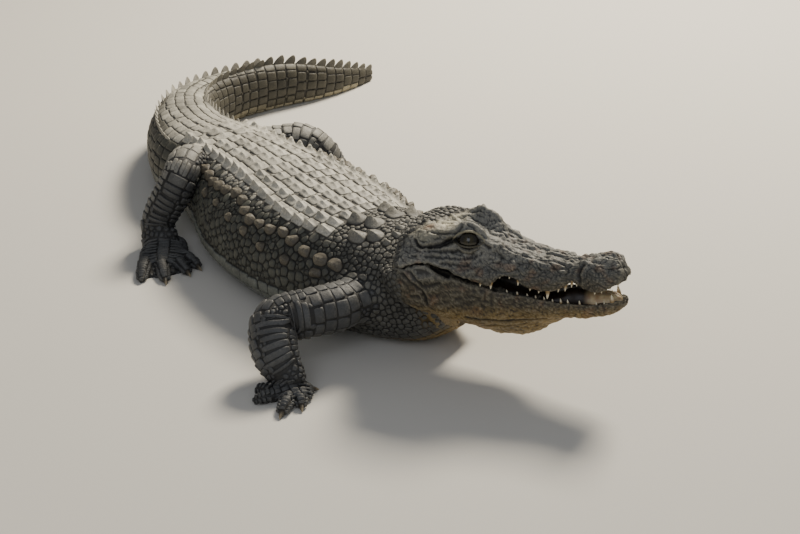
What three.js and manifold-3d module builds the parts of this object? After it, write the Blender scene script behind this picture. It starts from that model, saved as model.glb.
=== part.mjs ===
// A Nile crocodile standing still with its head raised and its tail swung round to its left.
// Millimetres, +Z up, +X towards the front of the trunk, +Y to the animal's left.
import * as THREE from 'three';
import { mergeVertices } from 'three/addons/utils/BufferGeometryUtils.js';
import Module from 'manifold-3d';

const wasm = await Module();
wasm.setup();

const TAU = 2 * Math.PI;
const GAP = 0.4; // clearance between neighbouring pieces
const GROUND = [3000, 3000, 200]; // block under the animal, its top at height 0

// ---------------------------------------------------------------- finishes
const HIDE = { color: 0x5c5a50, roughness: 0.8, metalness: 0 };
const EYE = { color: 0x2c2a1c, roughness: 0.15, metalness: 0 };
const CLAW = { color: 0x38342c, roughness: 0.5, metalness: 0 };

// ---------------------------------------------------------------- station tables
// Trunk, tail and neck. Each row is a section: x, y and height of its axis, half width, height
// above and depth below the axis, and how square its upper and lower halves are (2 is round).
const SPINE = [
  [-862, 628, 17, 5, 14, 19, 2.0, 2.0], // tip of the tail
  [-848, 592, 22, 9, 21, 24, 2.0, 2.0],
  [-834, 548, 28, 12, 28, 30, 2.0, 2.0],
  [-822, 495, 35, 15, 35, 37, 2.0, 2.1],
  [-817, 440, 43, 19, 43, 45, 2.0, 2.1],
  [-817, 380, 51, 23, 50, 53, 2.0, 2.1],
  [-814, 310, 55, 28, 54, 57, 2.0, 2.2],
  [-802, 235, 57, 34, 56, 59, 2.1, 2.3],
  [-768, 152, 59, 45, 60, 62, 2.2, 2.4],
  [-704, 80, 62, 60, 66, 66, 2.3, 2.5],
  [-620, 34, 66, 78, 70, 70, 2.3, 2.6],
  [-528, 6, 70, 96, 76, 73, 2.3, 2.7],
  [-434, -8, 70, 112, 88, 74, 2.3, 2.8], // root of the tail
  [-336, -9, 68, 113, 104, 74, 2.3, 2.8], // hips
  [-230, -10, 64, 134, 117, 70, 2.3, 2.8],
  [-110, -10, 62, 166, 123, 68, 2.3, 2.8],
  [10, -8, 62, 174, 124, 68, 2.3, 2.8], // widest part of the belly
  [110, -6, 66, 162, 120, 74, 2.3, 2.8],
  [190, 0, 78, 142, 110, 88, 2.2, 2.8], // shoulders
  [255, 13, 94, 122, 97, 102, 2.1, 2.6],
  [310, 33, 108, 108, 85, 106, 2.1, 2.4], // neck
  [358, 58, 122, 92, 71, 88, 2.1, 2.2],
];
// Where the spine is parted, as rows of the table.
const SPINE_PARTS = [
  ['tail_5', 0, 3.0],
  ['tail_4', 3.0, 5.6],
  ['tail_3', 5.6, 8.0],
  ['tail_2', 8.0, 10.2],
  ['tail_1', 10.2, 12.4],
  ['trunk', 12.4, 18.4],
  ['neck', 18.4, 21],
];

// The head lies on a datum line that runs back from the snout through the hinge of the jaws.
const SNOUT = [637, 191, 192]; // where the datum starts
const HEAD_HEADING = 36; // degrees to the left of the trunk
const HEAD_PITCH = 5; // degrees up
const GAPE = 6; // degrees that the lower jaw hangs open
const HINGE = [352, 22]; // distance behind the snout tip, and height over the datum
// Upper jaw and skull. Each row: distance behind the snout tip, height of the midline,
// half width and height of the ridge beside it, of the flank below that, and of the lip.
const SKULL = [
  [2, 19, 8, 17, 14, 8, 15, 3],
  [10, 30, 16, 28, 26, 14, 28, 1],
  [26, 35, 19, 35, 34, 17, 37, -5], // mound of the nostrils
  [46, 33, 20, 32, 36, 13, 38, -12],
  [64, 30, 18, 29, 32, 13, 34, -8],
  [80, 27, 18, 25, 30, 13, 33, -2], // notch for the big lower tooth
  [98, 27, 23, 28, 38, 12, 41, -8],
  [118, 30, 27, 31, 44, 10, 48, -12], // bulge of the largest upper tooth
  [138, 33, 28, 34, 45, 11, 49, -12],
  [155, 37, 28, 37, 46, 13, 49, -6],
  [175, 42, 31, 43, 48, 24, 51, 7],
  [190, 47, 33, 50, 50, 28, 56, 11],
  [210, 54, 36, 66, 53, 30, 63, -4],
  [228, 59, 38, 81, 53, 38, 67, 0],
  [246, 64, 39, 88, 54, 46, 71, 7], // eyes
  [262, 70, 41, 84, 57, 52, 75, 15],
  [282, 76, 44, 80, 60, 58, 79, 27],
  [305, 79, 48, 80, 65, 62, 82, 35], // skull table and ears
  [326, 78, 46, 77, 68, 56, 84, 32],
  [348, 72, 42, 68, 66, 48, 82, 22],
  [368, 62, 36, 56, 56, 38, 66, 21],
];
// Lower jaw. Each row: distance behind the snout tip, half width, height of the lip,
// half width and height of the lower corner, and height of the chin line.
const JAW = [
  [3, 12, 5, 8, -10, -12],
  [18, 24, 2, 17, -21, -24],
  [36, 31, -2, 22, -27, -29],
  [60, 33, -6, 24, -31, -34],
  [90, 36, -9, 26, -36, -44],
  [120, 42, -7, 32, -44, -66],
  [150, 46, -4, 38, -51, -86],
  [185, 53, -1, 44, -58, -96], // pouch of the throat
  [220, 61, 4, 50, -62, -94],
  [255, 69, 12, 56, -62, -82],
  [285, 77, 26, 62, -58, -68],
  [312, 83, 38, 66, -52, -64],
  [338, 84, 28, 68, -46, -60],
  [366, 76, 12, 62, -38, -52],
  [390, 56, 0, 46, -28, -42],
];
const EYE_PLACE = [245, 38, 60]; // behind the snout tip, out from the middle, over the datum
const EYE_RADIUS = 20;

// Teeth: distance behind the snout tip and length.
const UPPER_TEETH = [
  [10, 4], [21, 4], [34, 4], [45, 4], [75, 4], [83, 7], [92, 9], [102, 6], [118, 14],
  [132, 4], [146, 4], [165, 7], [178, 4], [192, 4], [206, 9], [222, 4],
];
const LOWER_TEETH = [
  [18, 14], [30, 4], [42, 4], [68, 6], [86, 7], [97, 7], [110, 4], [123, 5], [137, 4],
  [150, 4], [166, 4], [182, 4],
];

// Legs, with y outwards from the middle. Each row: x, y, z, half width and half height.
const FORELEG_RIGHT = [
  [268, 42, 92, 46, 46],
  [292, 90, 92, 44, 43],
  [305, 140, 92, 42, 41],
  [302, 194, 93, 41, 40],
  [294, 244, 89, 41, 38], // elbow
  [318, 264, 70, 40, 33],
  [338, 270, 54, 38, 28],
  [356, 268, 38, 33, 22],
  [368, 264, 27, 29, 18], // wrist
  [382, 267, 18, 30, 14],
];
const FORELEG_LEFT = [
  [180, 52, 100, 46, 48],
  [188, 98, 98, 44, 45],
  [196, 140, 96, 40, 41],
  [202, 176, 94, 38, 38],
  [206, 208, 87, 39, 36],
  [218, 226, 68, 40, 33],
  [238, 232, 52, 38, 28],
  [258, 230, 37, 33, 22],
  [272, 227, 26, 29, 18],
  [286, 228, 18, 30, 14],
];
const ELBOW = 4.2;
const WRIST = 7.4;
const HINDLEG_RIGHT = [
  [-330, 40, 96, 58, 58],
  [-312, 78, 112, 52, 52],
  [-288, 112, 132, 43, 43],
  [-262, 136, 144, 37, 37],
  [-244, 154, 134, 35, 36], // knee
  [-244, 172, 106, 35, 35],
  [-250, 190, 76, 33, 32],
  [-250, 204, 48, 32, 28],
  [-238, 208, 32, 34, 22], // ankle
  [-216, 212, 22, 38, 18],
];
const HINDLEG_LEFT = [
  [-340, 36, 100, 56, 56],
  [-334, 78, 112, 50, 50],
  [-318, 120, 120, 44, 44],
  [-296, 148, 116, 40, 40],
  [-278, 164, 101, 36, 37],
  [-276, 178, 80, 34, 34],
  [-282, 194, 60, 32, 31],
  [-286, 210, 42, 30, 27],
  [-278, 222, 29, 32, 21],
  [-262, 234, 21, 35, 17],
];
const KNEE = 4.1;
const ANKLE = 7.3;
// Paws. The palm's middle, its heading in degrees outwards from forwards, half length, half
// width and thickness, then the place where each digit ends and whether it has a claw.
const HAND_RIGHT = {
  palm: [386, 268], heading: 8, reach: 26, breadth: 28, thick: 13, digit: 10.5,
  tips: [[388, 222, 1], [438, 280, 1], [438, 320, 1], [372, 328, 0], [342, 308, 0]],
};
const HAND_LEFT = {
  palm: [292, 230], heading: 16, reach: 26, breadth: 28, thick: 13, digit: 10.5,
  tips: [[312, 188, 1], [346, 222, 1], [352, 252, 1], [318, 284, 0], [280, 276, 0]],
};
const FOOT_RIGHT = {
  palm: [-196, 218], heading: 30, reach: 46, breadth: 42, thick: 15, digit: 11, webbed: true,
  tips: [[-110, 184, 1], [-98, 212, 1], [-90, 264, 1], [-126, 296, 0]],
};
const FOOT_LEFT = {
  palm: [-248, 244], heading: 24, reach: 44, breadth: 40, thick: 15, digit: 11, webbed: true,
  tips: [[-174, 224, 1], [-162, 252, 1], [-172, 282, 1], [-202, 302, 0]],
};

// ---------------------------------------------------------------- reading tables
// A smooth curve through the rows of a table, at row number t.
function read(table, t) {
  const last = table.length - 1;
  const i = Math.min(Math.floor(t), last - 1);
  const f = t - i;
  const row = (k) => table[Math.min(Math.max(k, 0), last)];
  const [a, b, c, d] = [row(i - 1), row(i), row(i + 1), row(i + 2)];
  return b.map((_, k) => 0.5 * (2 * b[k] + (c[k] - a[k]) * f
    + (2 * a[k] - 5 * b[k] + 4 * c[k] - d[k]) * f * f
    + (3 * b[k] - a[k] - 3 * c[k] + d[k]) * f * f * f));
}
const vec = (v) => new THREE.Vector3(...v);
const power = (v, e) => Math.sign(v) * Math.abs(v) ** e;

// ---------------------------------------------------------------- solids
// The solid inside a closed geometry, pushed out all round by a clearance.
const toSolid = (geometry, clearance = 0) => {
  geometry.deleteAttribute('normal');
  geometry.deleteAttribute('uv');
  const merged = mergeVertices(geometry, 1e-4);
  if (clearance) {
    merged.computeVertexNormals();
    const { position, normal } = merged.attributes;
    for (let i = 0; i < position.count; i += 1) {
      position.setXYZ(
        i,
        position.getX(i) + clearance * normal.getX(i),
        position.getY(i) + clearance * normal.getY(i),
        position.getZ(i) + clearance * normal.getZ(i),
      );
    }
  }
  return new wasm.Manifold(new wasm.Mesh({
    numProp: 3,
    vertProperties: merged.attributes.position.array,
    triVerts: new Uint32Array(merged.index.array),
  }));
};
function toMesh(name, solid, finish) {
  const made = solid.getMesh();
  const geometry = new THREE.BufferGeometry();
  geometry.setAttribute('position', new THREE.BufferAttribute(made.vertProperties, 3));
  geometry.setIndex(new THREE.BufferAttribute(made.triVerts, 1));
  geometry.computeVertexNormals();
  const mesh = new THREE.Mesh(geometry, new THREE.MeshStandardMaterial(finish));
  mesh.name = name;
  return mesh;
}
// A sphere's grid drawn out along a line: each latitude becomes a ring at share 0 to 1,
// and each pole the middle of an end. place(share, angle) gives a point of a ring.
function drawn(rings, around, place, clearance = 0) {
  const geometry = new THREE.SphereGeometry(1, around, rings + 1);
  const at = geometry.attributes.position;
  let n = 0;
  for (let i = 0; i <= rings + 1; i += 1) {
    const share = Math.min(Math.max(i - 1, 0), rings - 1) / (rings - 1);
    const ring = Array.from({ length: around }, (_, j) => place(share, (TAU * j) / around));
    const middle = ring.reduce((sum, p) => sum.add(p), new THREE.Vector3()).divideScalar(around);
    const end = i === 0 || i === rings + 1;
    for (let j = 0; j <= around; j += 1) {
      const p = end ? middle : ring[j % around];
      at.setXYZ(n, p.x, p.y, p.z);
      n += 1;
    }
  }
  return toSolid(geometry, clearance);
}

// ---------------------------------------------------------------- trunk, tail and neck
const UP = new THREE.Vector3(0, 0, 1);
function spineFrame(t) {
  const [x, y, z, width, above, below, squareTop, squareUnder] = read(SPINE, t);
  const step = 0.05;
  const last = SPINE.length - 1;
  const ahead = vec(read(SPINE, Math.min(t + step, last)).slice(0, 3));
  const back = vec(read(SPINE, Math.max(t - step, 0)).slice(0, 3));
  const forward = ahead.sub(back).normalize();
  const left = new THREE.Vector3().crossVectors(UP, forward).normalize();
  const up = new THREE.Vector3().crossVectors(forward, left);
  const centre = new THREE.Vector3(x, y, z);
  return { centre, forward, left, up, width, above, below, squareTop, squareUnder };
}
// A point of a section's outline; angle 0 is its top, and grown makes it bigger all round.
function spinePoint(t, angle, grown = 0) {
  const s = spineFrame(t);
  const c = Math.cos(angle);
  const square = c > 0 ? s.squareTop : s.squareUnder;
  const side = (s.width + grown) * power(Math.sin(angle), 2 / square);
  const height = ((c > 0 ? s.above : s.below) + grown) * power(c, 2 / square);
  return s.centre.addScaledVector(s.left, side).addScaledVector(s.up, height);
}
function spinePart(from, to, rings, around, clearance = 0, grown = 0) {
  const place = (share, angle) => spinePoint(from + (to - from) * share, angle, grown);
  return drawn(rings, around, place, clearance);
}

// ---------------------------------------------------------------- head
const rad = THREE.MathUtils.degToRad;
const headTurn = new THREE.Matrix4().makeRotationZ(rad(HEAD_HEADING))
  .multiply(new THREE.Matrix4().makeRotationY(-rad(HEAD_PITCH)));
const headFrame = new THREE.Matrix4().makeTranslation(...SNOUT).multiply(headTurn);
// From behind the snout tip, out to the left and over the datum, to the model's frame.
const onHead = (behind, side, height) => new THREE.Vector3(-behind, side, height)
  .applyMatrix4(headFrame);

function skullPoint(t, angle) {
  const [behind, top, s1, c1, s2, c2, width, lip] = read(SKULL, t);
  const c = Math.cos(angle);
  const share = 1 - Math.acos(Math.abs(c)) / (TAU / 4);
  const side = Math.sign(Math.sin(angle));
  const [cheek, edge] = [lip + 0.35 * (c2 - lip), lip + 0.08 * (c2 - lip)];
  const upper = [
    [-s1, c1], [0, top], [s1, c1], [s2, c2], [width, cheek], [width - 1, edge],
    [0.88 * width, lip], [0.7 * width, lip],
  ];
  const palate = 5;
  const half = c >= 0
    ? read(upper, 1 + (1 - share) * 5)
    : [0.88 * width * (1 - share), lip + palate * share];
  return onHead(behind, side * half[0], half[1]);
}
function jawPoint(t, angle) {
  const [behind, width, lip, s1, c1, chin] = read(JAW, t);
  const c = Math.cos(angle);
  const share = 1 - Math.acos(Math.abs(c)) / (TAU / 4);
  const side = Math.sign(Math.sin(angle));
  const lower = [
    [0.8 * width, lip + 2], [width - 2, lip], [width, 0.5 * (lip + c1)], [s1, c1], [0, chin],
    [-s1, c1],
  ];
  const floor = 5;
  const half = c >= 0
    ? [(width - 2) * (1 - share), lip - floor * share]
    : read(lower, 1 + share * 3);
  const gape = rad(GAPE);
  const [dx, dz] = [HINGE[0] - behind, half[1] - HINGE[1]];
  const turned = [Math.cos(gape) * dx + Math.sin(gape) * dz, Math.cos(gape) * dz - Math.sin(gape) * dx];
  return onHead(HINGE[0] - turned[0], side * half[0], HINGE[1] + turned[1]);
}
function headLoft(table, pointOn, rings, around, clearance = 0) {
  const last = table.length - 1;
  return drawn(rings, around, (share, angle) => pointOn(last * (1 - share), angle), clearance);
}
// A pointed tooth with its root in the gum.
function tooth(root, tip, radius, clearance = 0) {
  const along = tip.clone().sub(root);
  const cone = new THREE.ConeGeometry(radius, along.length(), 4);
  cone.translate(0, along.length() / 2, 0);
  cone.applyQuaternion(new THREE.Quaternion().setFromUnitVectors(new THREE.Vector3(0, 1, 0),
    along.normalize()));
  cone.translate(root.x, root.y, root.z);
  return toSolid(cone, clearance);
}
const TOOTH_ROOT = 5; // how deep a tooth starts in the gum
function rowAt(table, behind) {
  const i = table.findIndex((row) => row[0] > behind);
  const [a, b] = [table[Math.max(i - 1, 0)][0], table[Math.max(i, 1)][0]];
  return Math.max(i - 1, 0) + (behind - a) / (b - a);
}
function upperTooth([behind, length], side, clearance = 0) {
  const [, , , , , , width, lip] = read(SKULL, rowAt(SKULL, behind));
  const out = side * (width - 5);
  return tooth(onHead(behind, out, lip + TOOTH_ROOT),
    onHead(behind, out + side, lip - length), length * 0.2 + 1.4, clearance);
}
function lowerTooth([behind, length], side) {
  const t = rowAt(JAW, behind);
  const inGum = jawPoint(t, 0.001);
  const edge = jawPoint(t, side * (TAU / 4 - 0.02));
  const root = edge.clone().lerp(inGum, 0.14);
  const up = onHead(0, 0, 1).sub(onHead(0, 0, 0));
  return tooth(root.clone().addScaledVector(up, -TOOTH_ROOT), root.clone().addScaledVector(up, length),
    length * 0.2 + 1.4);
}

// ---------------------------------------------------------------- legs
const mirrored = (row, side) => [row[0], side * row[1], ...row.slice(2)];
// Frames carried along a leg without twisting.
function legFrames(table, side, steps) {
  const last = table.length - 1;
  const rows = table.map((row) => mirrored(row, side));
  const point = (t) => vec(read(rows, Math.min(Math.max(t, 0), last)).slice(0, 3));
  let up = UP.clone();
  return Array.from({ length: steps + 1 }, (_, i) => {
    const t = (last * i) / steps;
    const forward = point(t + 0.05).sub(point(t - 0.05)).normalize();
    up = up.clone().addScaledVector(forward, -up.dot(forward)).normalize();
    const left = new THREE.Vector3().crossVectors(up, forward);
    const [, , , width, high] = read(rows, t);
    return { centre: point(t), forward, up: up.clone(), left, width, high };
  });
}
const LEG_STEPS = 90;
function legPart(table, side, from, to, rings, around, clearance = 0) {
  const frames = legFrames(table, side, LEG_STEPS);
  const last = table.length - 1;
  return drawn(rings, around, (share, angle) => {
    const f = frames[Math.round(((from + (to - from) * share) / last) * LEG_STEPS)];
    return f.centre.clone().addScaledVector(f.left, f.width * Math.sin(angle))
      .addScaledVector(f.up, f.high * Math.cos(angle));
  }, clearance);
}
// A rounded pad or digit lying along the floor. Each row: distance along it, half width,
// half height and height of its middle.
function alongFloor(rows, start, ahead, rings, around, clearance = 0) {
  const left = new THREE.Vector3(-ahead.y, ahead.x, 0);
  return drawn(rings, around, (share, angle) => {
    const [far, width, high, z] = read(rows, share * (rows.length - 1));
    return new THREE.Vector3(...start, z).addScaledVector(ahead, far)
      .addScaledVector(left, width * Math.sin(angle))
      .addScaledVector(UP, high * Math.cos(angle));
  }, clearance);
}
const CLAW_LENGTH = 20;
const CLAW_SHOWN = 13; // length of claw beyond the end of its digit
const digitRows = (length, thick) => [
  [0, thick, thick, thick * 0.88],
  [length * 0.4, thick * 0.98, thick, thick * 0.88],
  [length * 0.75, thick * 0.88, thick * 0.92, thick * 0.8],
  [length, thick * 0.58, thick * 0.6, thick * 0.54],
];
const CLAW_ROWS = [
  [0, 4.6, 4.6, 7],
  [CLAW_LENGTH * 0.4, 4, 4.4, 6.8],
  [CLAW_LENGTH * 0.75, 2.4, 3, 4.8],
  [CLAW_LENGTH, 0.6, 0.8, 2.2],
];
// The thin skin between two toes, out to a share of their length.
const WEB_SHARE = 0.72;
const WEB_THICK = [6, 1.6]; // half of it, at the root and at the edge
function web(first, second) {
  const along = (toe, share) => toe.root.clone().addScaledVector(toe.way, toe.length * share);
  return drawn(3, 6, (share, angle) => {
    const a = along(first, share * WEB_SHARE);
    const b = along(second, share * WEB_SHARE);
    const thick = WEB_THICK[0] + (WEB_THICK[1] - WEB_THICK[0]) * share;
    return a.clone().lerp(b, 0.5 + 0.5 * Math.sin(angle)).setZ(thick * (1 + Math.cos(angle)) + 0.6);
  });
}
// A palm with its digits, and its claws as functions of their clearance.
function paw(shape, side) {
  const { reach, breadth, thick } = shape;
  const start = mirrored(shape.palm, side);
  const heading = rad(side * shape.heading);
  const ahead = new THREE.Vector3(Math.cos(heading), Math.sin(heading), 0);
  const left = new THREE.Vector3(-ahead.y, ahead.x, 0);
  const claws = [];
  const toes = [];
  let whole = alongFloor([
    [-reach, breadth * 0.8, thick, thick],
    [-reach * 0.3, breadth, thick, thick * 0.9],
    [reach * 0.5, breadth, thick * 0.8, thick * 0.7],
    [reach, breadth * 0.7, thick * 0.5, thick * 0.4],
  ], start, ahead, 4, 8);
  shape.tips.forEach(([x, out, clawed], i) => {
    const spread = side * (i / (shape.tips.length - 1) - 0.5) * 1.5 * breadth;
    const root = new THREE.Vector3(...start, 0).addScaledVector(left, spread);
    const way = new THREE.Vector3(x, side * out, 0).sub(root);
    const length = way.length() - (clawed ? CLAW_SHOWN : 0);
    way.normalize();
    toes.push({ root: root.clone(), way: way.clone(), length });
    whole = whole.add(alongFloor(digitRows(length, shape.digit), [root.x, root.y], way, 3, 5));
    if (clawed) {
      const tip = root.addScaledVector(way, length - CLAW_LENGTH + CLAW_SHOWN);
      claws.push((clearance) => alongFloor(CLAW_ROWS, [tip.x, tip.y], way, 3, 5, clearance));
    }
  });
  if (shape.webbed) {
    toes.slice(1).forEach((toe, i) => {
      whole = whole.add(side > 0 ? web(toes[i], toe) : web(toe, toes[i]));
    });
  }
  return { whole, claws };
}

// ---------------------------------------------------------------- crest and keels
// A keeled plate that leans back: a four sided cone with its base sunk in the hide.
const FIN_SUNK = 5;
function fin(t, angle, [length, height, thick], lean, clearance) {
  const frame = spineFrame(t);
  const base = spinePoint(t, angle, -FIN_SUNK);
  const up = lean.clone().addScaledVector(frame.forward, -lean.dot(frame.forward)).normalize();
  const side = new THREE.Vector3().crossVectors(frame.forward, up);
  const cone = new THREE.ConeGeometry(Math.SQRT1_2, 1, 4, 1);
  cone.rotateY(TAU / 8);
  const at = cone.attributes.position;
  for (let i = 0; i < at.count; i += 1) {
    const raised = at.getY(i) + 0.5;
    const p = base.clone()
      .addScaledVector(frame.forward, length * (at.getX(i) - 0.42 * raised))
      .addScaledVector(side, thick * at.getZ(i))
      .addScaledVector(up, (height + FIN_SUNK) * raised);
    at.setXYZ(i, p.x, p.y, p.z);
  }
  return toSolid(cone, clearance);
}
const CREST_SPACING = 27; // one ring of scales on the tail
const CREST_JOINS = 5.9; // row where the two crests become one
const CREST_STARTS = 12.2;
// Rows of the table at even distances along the spine.
function evenly(from, to, spacing) {
  const found = [];
  let travelled = spacing / 2;
  let before = spineFrame(from).centre;
  for (let t = from; t <= to; t += 0.01) {
    const here = spineFrame(t).centre;
    travelled += here.distanceTo(before);
    before = here;
    if (travelled >= spacing) {
      found.push(t);
      travelled -= spacing;
    }
  }
  return found;
}
function crest(t, clearance) {
  if (t < CREST_JOINS) {
    return [fin(t, 0, [CREST_SPACING, 8 + 4 * Math.min(t, 2.4), 12], UP, clearance)];
  }
  const grown = Math.min(1, (CREST_STARTS - t) / (CREST_STARTS - CREST_JOINS));
  const angle = 0.12 + 0.66 * Math.min(1, (t - CREST_JOINS) / 4);
  return [1, -1].map((side) => {
    const lean = UP.clone().addScaledVector(spineFrame(t).left, side * 0.4);
    return fin(t, side * angle, [CREST_SPACING, 7 + 11 * grown, 12], lean, clearance);
  });
}
const KEEL_SPACING = 33; // one row of plates on the back
const KEEL_ANGLE = 0.56; // from the top of the back
function shieldEdge(t, clearance) {
  return [1, -1].map((side) => {
    const lean = UP.clone().addScaledVector(spineFrame(t).left, side * 0.5);
    return fin(t, side * KEEL_ANGLE, [KEEL_SPACING * 0.9, 8, 15], lean, clearance);
  });
}
const plates = (clearance) => [
  ...evenly(0.4, CREST_STARTS, CREST_SPACING).flatMap((t) => crest(t, clearance)),
  ...evenly(CREST_STARTS + 0.25, 18.2, KEEL_SPACING).flatMap((t) => shieldEdge(t, clearance)),
];

// ---------------------------------------------------------------- assembly
const pieces = new THREE.Group();
const ground = toSolid(new THREE.BoxGeometry(...GROUND).translate(0, 0, -GROUND[2] / 2));
// Whatever rests is cut flat at the floor.
const add = (name, solid, finish) => {
  pieces.add(toMesh(name, solid.subtract(ground), finish));
};

const HEAD_SIDES = 16;
const JAW_SIDES = 14;
const skull = headLoft(SKULL, skullPoint, SKULL.length, HEAD_SIDES);
const skullRoom = headLoft(SKULL, skullPoint, SKULL.length, HEAD_SIDES, 2 * GAP);
const jaw = headLoft(JAW, jawPoint, JAW.length, JAW_SIDES);
const jawRoom = headLoft(JAW, jawPoint, JAW.length, JAW_SIDES, 2 * GAP);
const eyeBall = (side, radius) => {
  const ball = new THREE.SphereGeometry(radius, 9, 6);
  ball.applyMatrix4(new THREE.Matrix4().makeTranslation(
    -EYE_PLACE[0],
    side * EYE_PLACE[1],
    EYE_PLACE[2],
  )).applyMatrix4(headFrame);
  return toSolid(ball);
};

let head = skull;
let lowerJaw = jaw.subtract(skullRoom);
[1, -1].forEach((side) => {
  LOWER_TEETH.forEach((row) => {
    lowerJaw = lowerJaw.add(lowerTooth(row, side).subtract(skullRoom));
  });
  UPPER_TEETH.forEach((row) => {
    head = head.add(upperTooth(row, side));
    lowerJaw = lowerJaw.subtract(upperTooth(row, side, 2 * GAP));
  });
  head = head.subtract(eyeBall(side, EYE_RADIUS + GAP));
  add(side > 0 ? 'eye_left' : 'eye_right', eyeBall(side, EYE_RADIUS), EYE);
});
add('head', head, HIDE);
add('lower_jaw', lowerJaw, HIDE);

const TRIM = 0.004; // rows of the table that a part stops short of its neighbour
const REACH = 60; // how far a part's plates can stand out
const SIDES = { tail_5: 12, tail_4: 12, tail_3: 14, tail_2: 16 }; // faces round a part
const WIDEST_SIDES = 16;
let bodyRoom = null; // the tail, trunk and neck with a clearance, which the legs keep out of
SPINE_PARTS.forEach(([name, from, to]) => {
  const rings = Math.max(4, Math.round((to - from) * 2));
  const sides = SIDES[name] || WIDEST_SIDES;
  const start = from === 0 ? 0 : from + TRIM;
  const end = to === SPINE.length - 1 ? to : to - TRIM;
  const withPlates = (clearance) => {
    const reach = spinePart(start, end, rings, 8, 0, REACH);
    return plates(clearance).map((plate) => plate.intersect(reach))
      .filter((plate) => plate.volume() > 1)
      .reduce((sum, plate) => sum.add(plate), spinePart(start, end, rings, sides, clearance));
  };
  let part = withPlates(0);
  if (name === 'neck') part = part.subtract(skullRoom).subtract(jawRoom);
  add(name, part, HIDE);
  if (['tail_1', 'trunk', 'neck'].includes(name)) {
    bodyRoom = bodyRoom ? bodyRoom.add(withPlates(2 * GAP)) : withPlates(2 * GAP);
  }
});

// The largest body of a solid that cutting has left in pieces.
const largest = (solid) => solid.decompose().sort((a, b) => b.volume() - a.volume())[0];
const BEND = 0.03; // rows of the table that two lengths of a leg stay apart
const LEGS = [
  ['right', -1, 'foreleg', FORELEG_RIGHT, ELBOW, WRIST, 'hand', HAND_RIGHT],
  ['left', 1, 'foreleg', FORELEG_LEFT, ELBOW, WRIST, 'hand', HAND_LEFT],
  ['right', -1, 'hindleg', HINDLEG_RIGHT, KNEE, ANKLE, 'foot', FOOT_RIGHT],
  ['left', 1, 'hindleg', HINDLEG_LEFT, KNEE, ANKLE, 'foot', FOOT_LEFT],
];
LEGS.forEach(([word, side, leg, table, bend, end, foot, shape]) => {
  const last = table.length - 1;
  const { whole, claws } = paw(shape, side);
  const upper = legPart(table, side, 0, bend - BEND, 6, 10);
  const lowerRoom = legPart(table, side, bend + BEND, end - BEND, 5, 10, GAP);
  const lower = legPart(table, side, bend + BEND, end - BEND, 5, 10);
  let sole = whole.add(legPart(table, side, end + BEND, last, 2, 8)).subtract(lowerRoom);
  claws.forEach((claw, i) => {
    sole = sole.subtract(claw(GAP));
    add(`${foot}_${word}_claw_${i + 1}`, claw(0), CLAW);
  });
  add(`${leg}_${word}_upper`, largest(upper.subtract(bodyRoom).subtract(lowerRoom)), HIDE);
  add(`${leg}_${word}_lower`, largest(lower.subtract(bodyRoom)), HIDE);
  add(`${foot}_${word}`, largest(sole.subtract(bodyRoom)), HIDE);
});

// The origin is the middle of the bounding box, on the floor.
const box = new THREE.Box3().setFromObject(pieces);
const middle = box.getCenter(new THREE.Vector3());
pieces.position.set(-middle.x, -middle.y, -box.min.z);

export default pieces;
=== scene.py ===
# %% [markdown]
# # A Nile crocodile at life size
#
# This lesson makes the visible surface of a still crocodile, as a museum would show it. A packed
# CAD model already fixes its size and pose with plain solids. Here one skin takes the place of
# those solids, thousands of horny scales go on the skin, and the eyes, teeth and claws are made
# as pieces of their own.
#
# Everything is worked out in millimetres from a few tables of sections, and it is turned into
# metres only when a mesh is made.

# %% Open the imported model
import math

import bpy
import numpy as np
from mathutils import Euler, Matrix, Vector, noise
from mathutils.bvhtree import BVHTree
from mathutils.kdtree import KDTree


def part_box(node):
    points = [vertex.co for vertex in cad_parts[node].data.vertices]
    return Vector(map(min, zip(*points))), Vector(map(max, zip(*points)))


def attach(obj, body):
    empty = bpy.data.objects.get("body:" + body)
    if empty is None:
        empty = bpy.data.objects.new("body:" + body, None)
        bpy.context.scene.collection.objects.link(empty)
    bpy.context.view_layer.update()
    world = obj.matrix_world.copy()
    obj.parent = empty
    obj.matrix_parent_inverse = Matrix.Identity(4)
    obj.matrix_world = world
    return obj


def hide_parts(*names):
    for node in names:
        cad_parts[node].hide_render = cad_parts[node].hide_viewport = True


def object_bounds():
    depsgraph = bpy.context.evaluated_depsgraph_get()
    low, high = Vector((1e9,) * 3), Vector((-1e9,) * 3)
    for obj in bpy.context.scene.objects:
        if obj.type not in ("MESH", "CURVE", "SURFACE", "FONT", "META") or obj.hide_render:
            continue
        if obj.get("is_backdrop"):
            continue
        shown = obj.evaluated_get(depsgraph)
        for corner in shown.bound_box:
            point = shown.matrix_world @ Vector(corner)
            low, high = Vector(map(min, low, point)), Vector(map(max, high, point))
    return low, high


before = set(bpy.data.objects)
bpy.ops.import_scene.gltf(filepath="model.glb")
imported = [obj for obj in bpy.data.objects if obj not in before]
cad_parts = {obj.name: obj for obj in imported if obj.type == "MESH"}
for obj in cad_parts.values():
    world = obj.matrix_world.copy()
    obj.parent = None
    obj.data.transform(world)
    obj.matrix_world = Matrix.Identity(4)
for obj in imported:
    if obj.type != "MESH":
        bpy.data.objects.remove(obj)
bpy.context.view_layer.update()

# %% [markdown]
# ## The animal as tables of sections
#
# A body can be sculpted by hand, or lofted through sections as a boat's hull is. Lofting is
# chosen, because each number is then a length that a tape measure could check, and the same
# tables made the solids of the CAD model.

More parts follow.
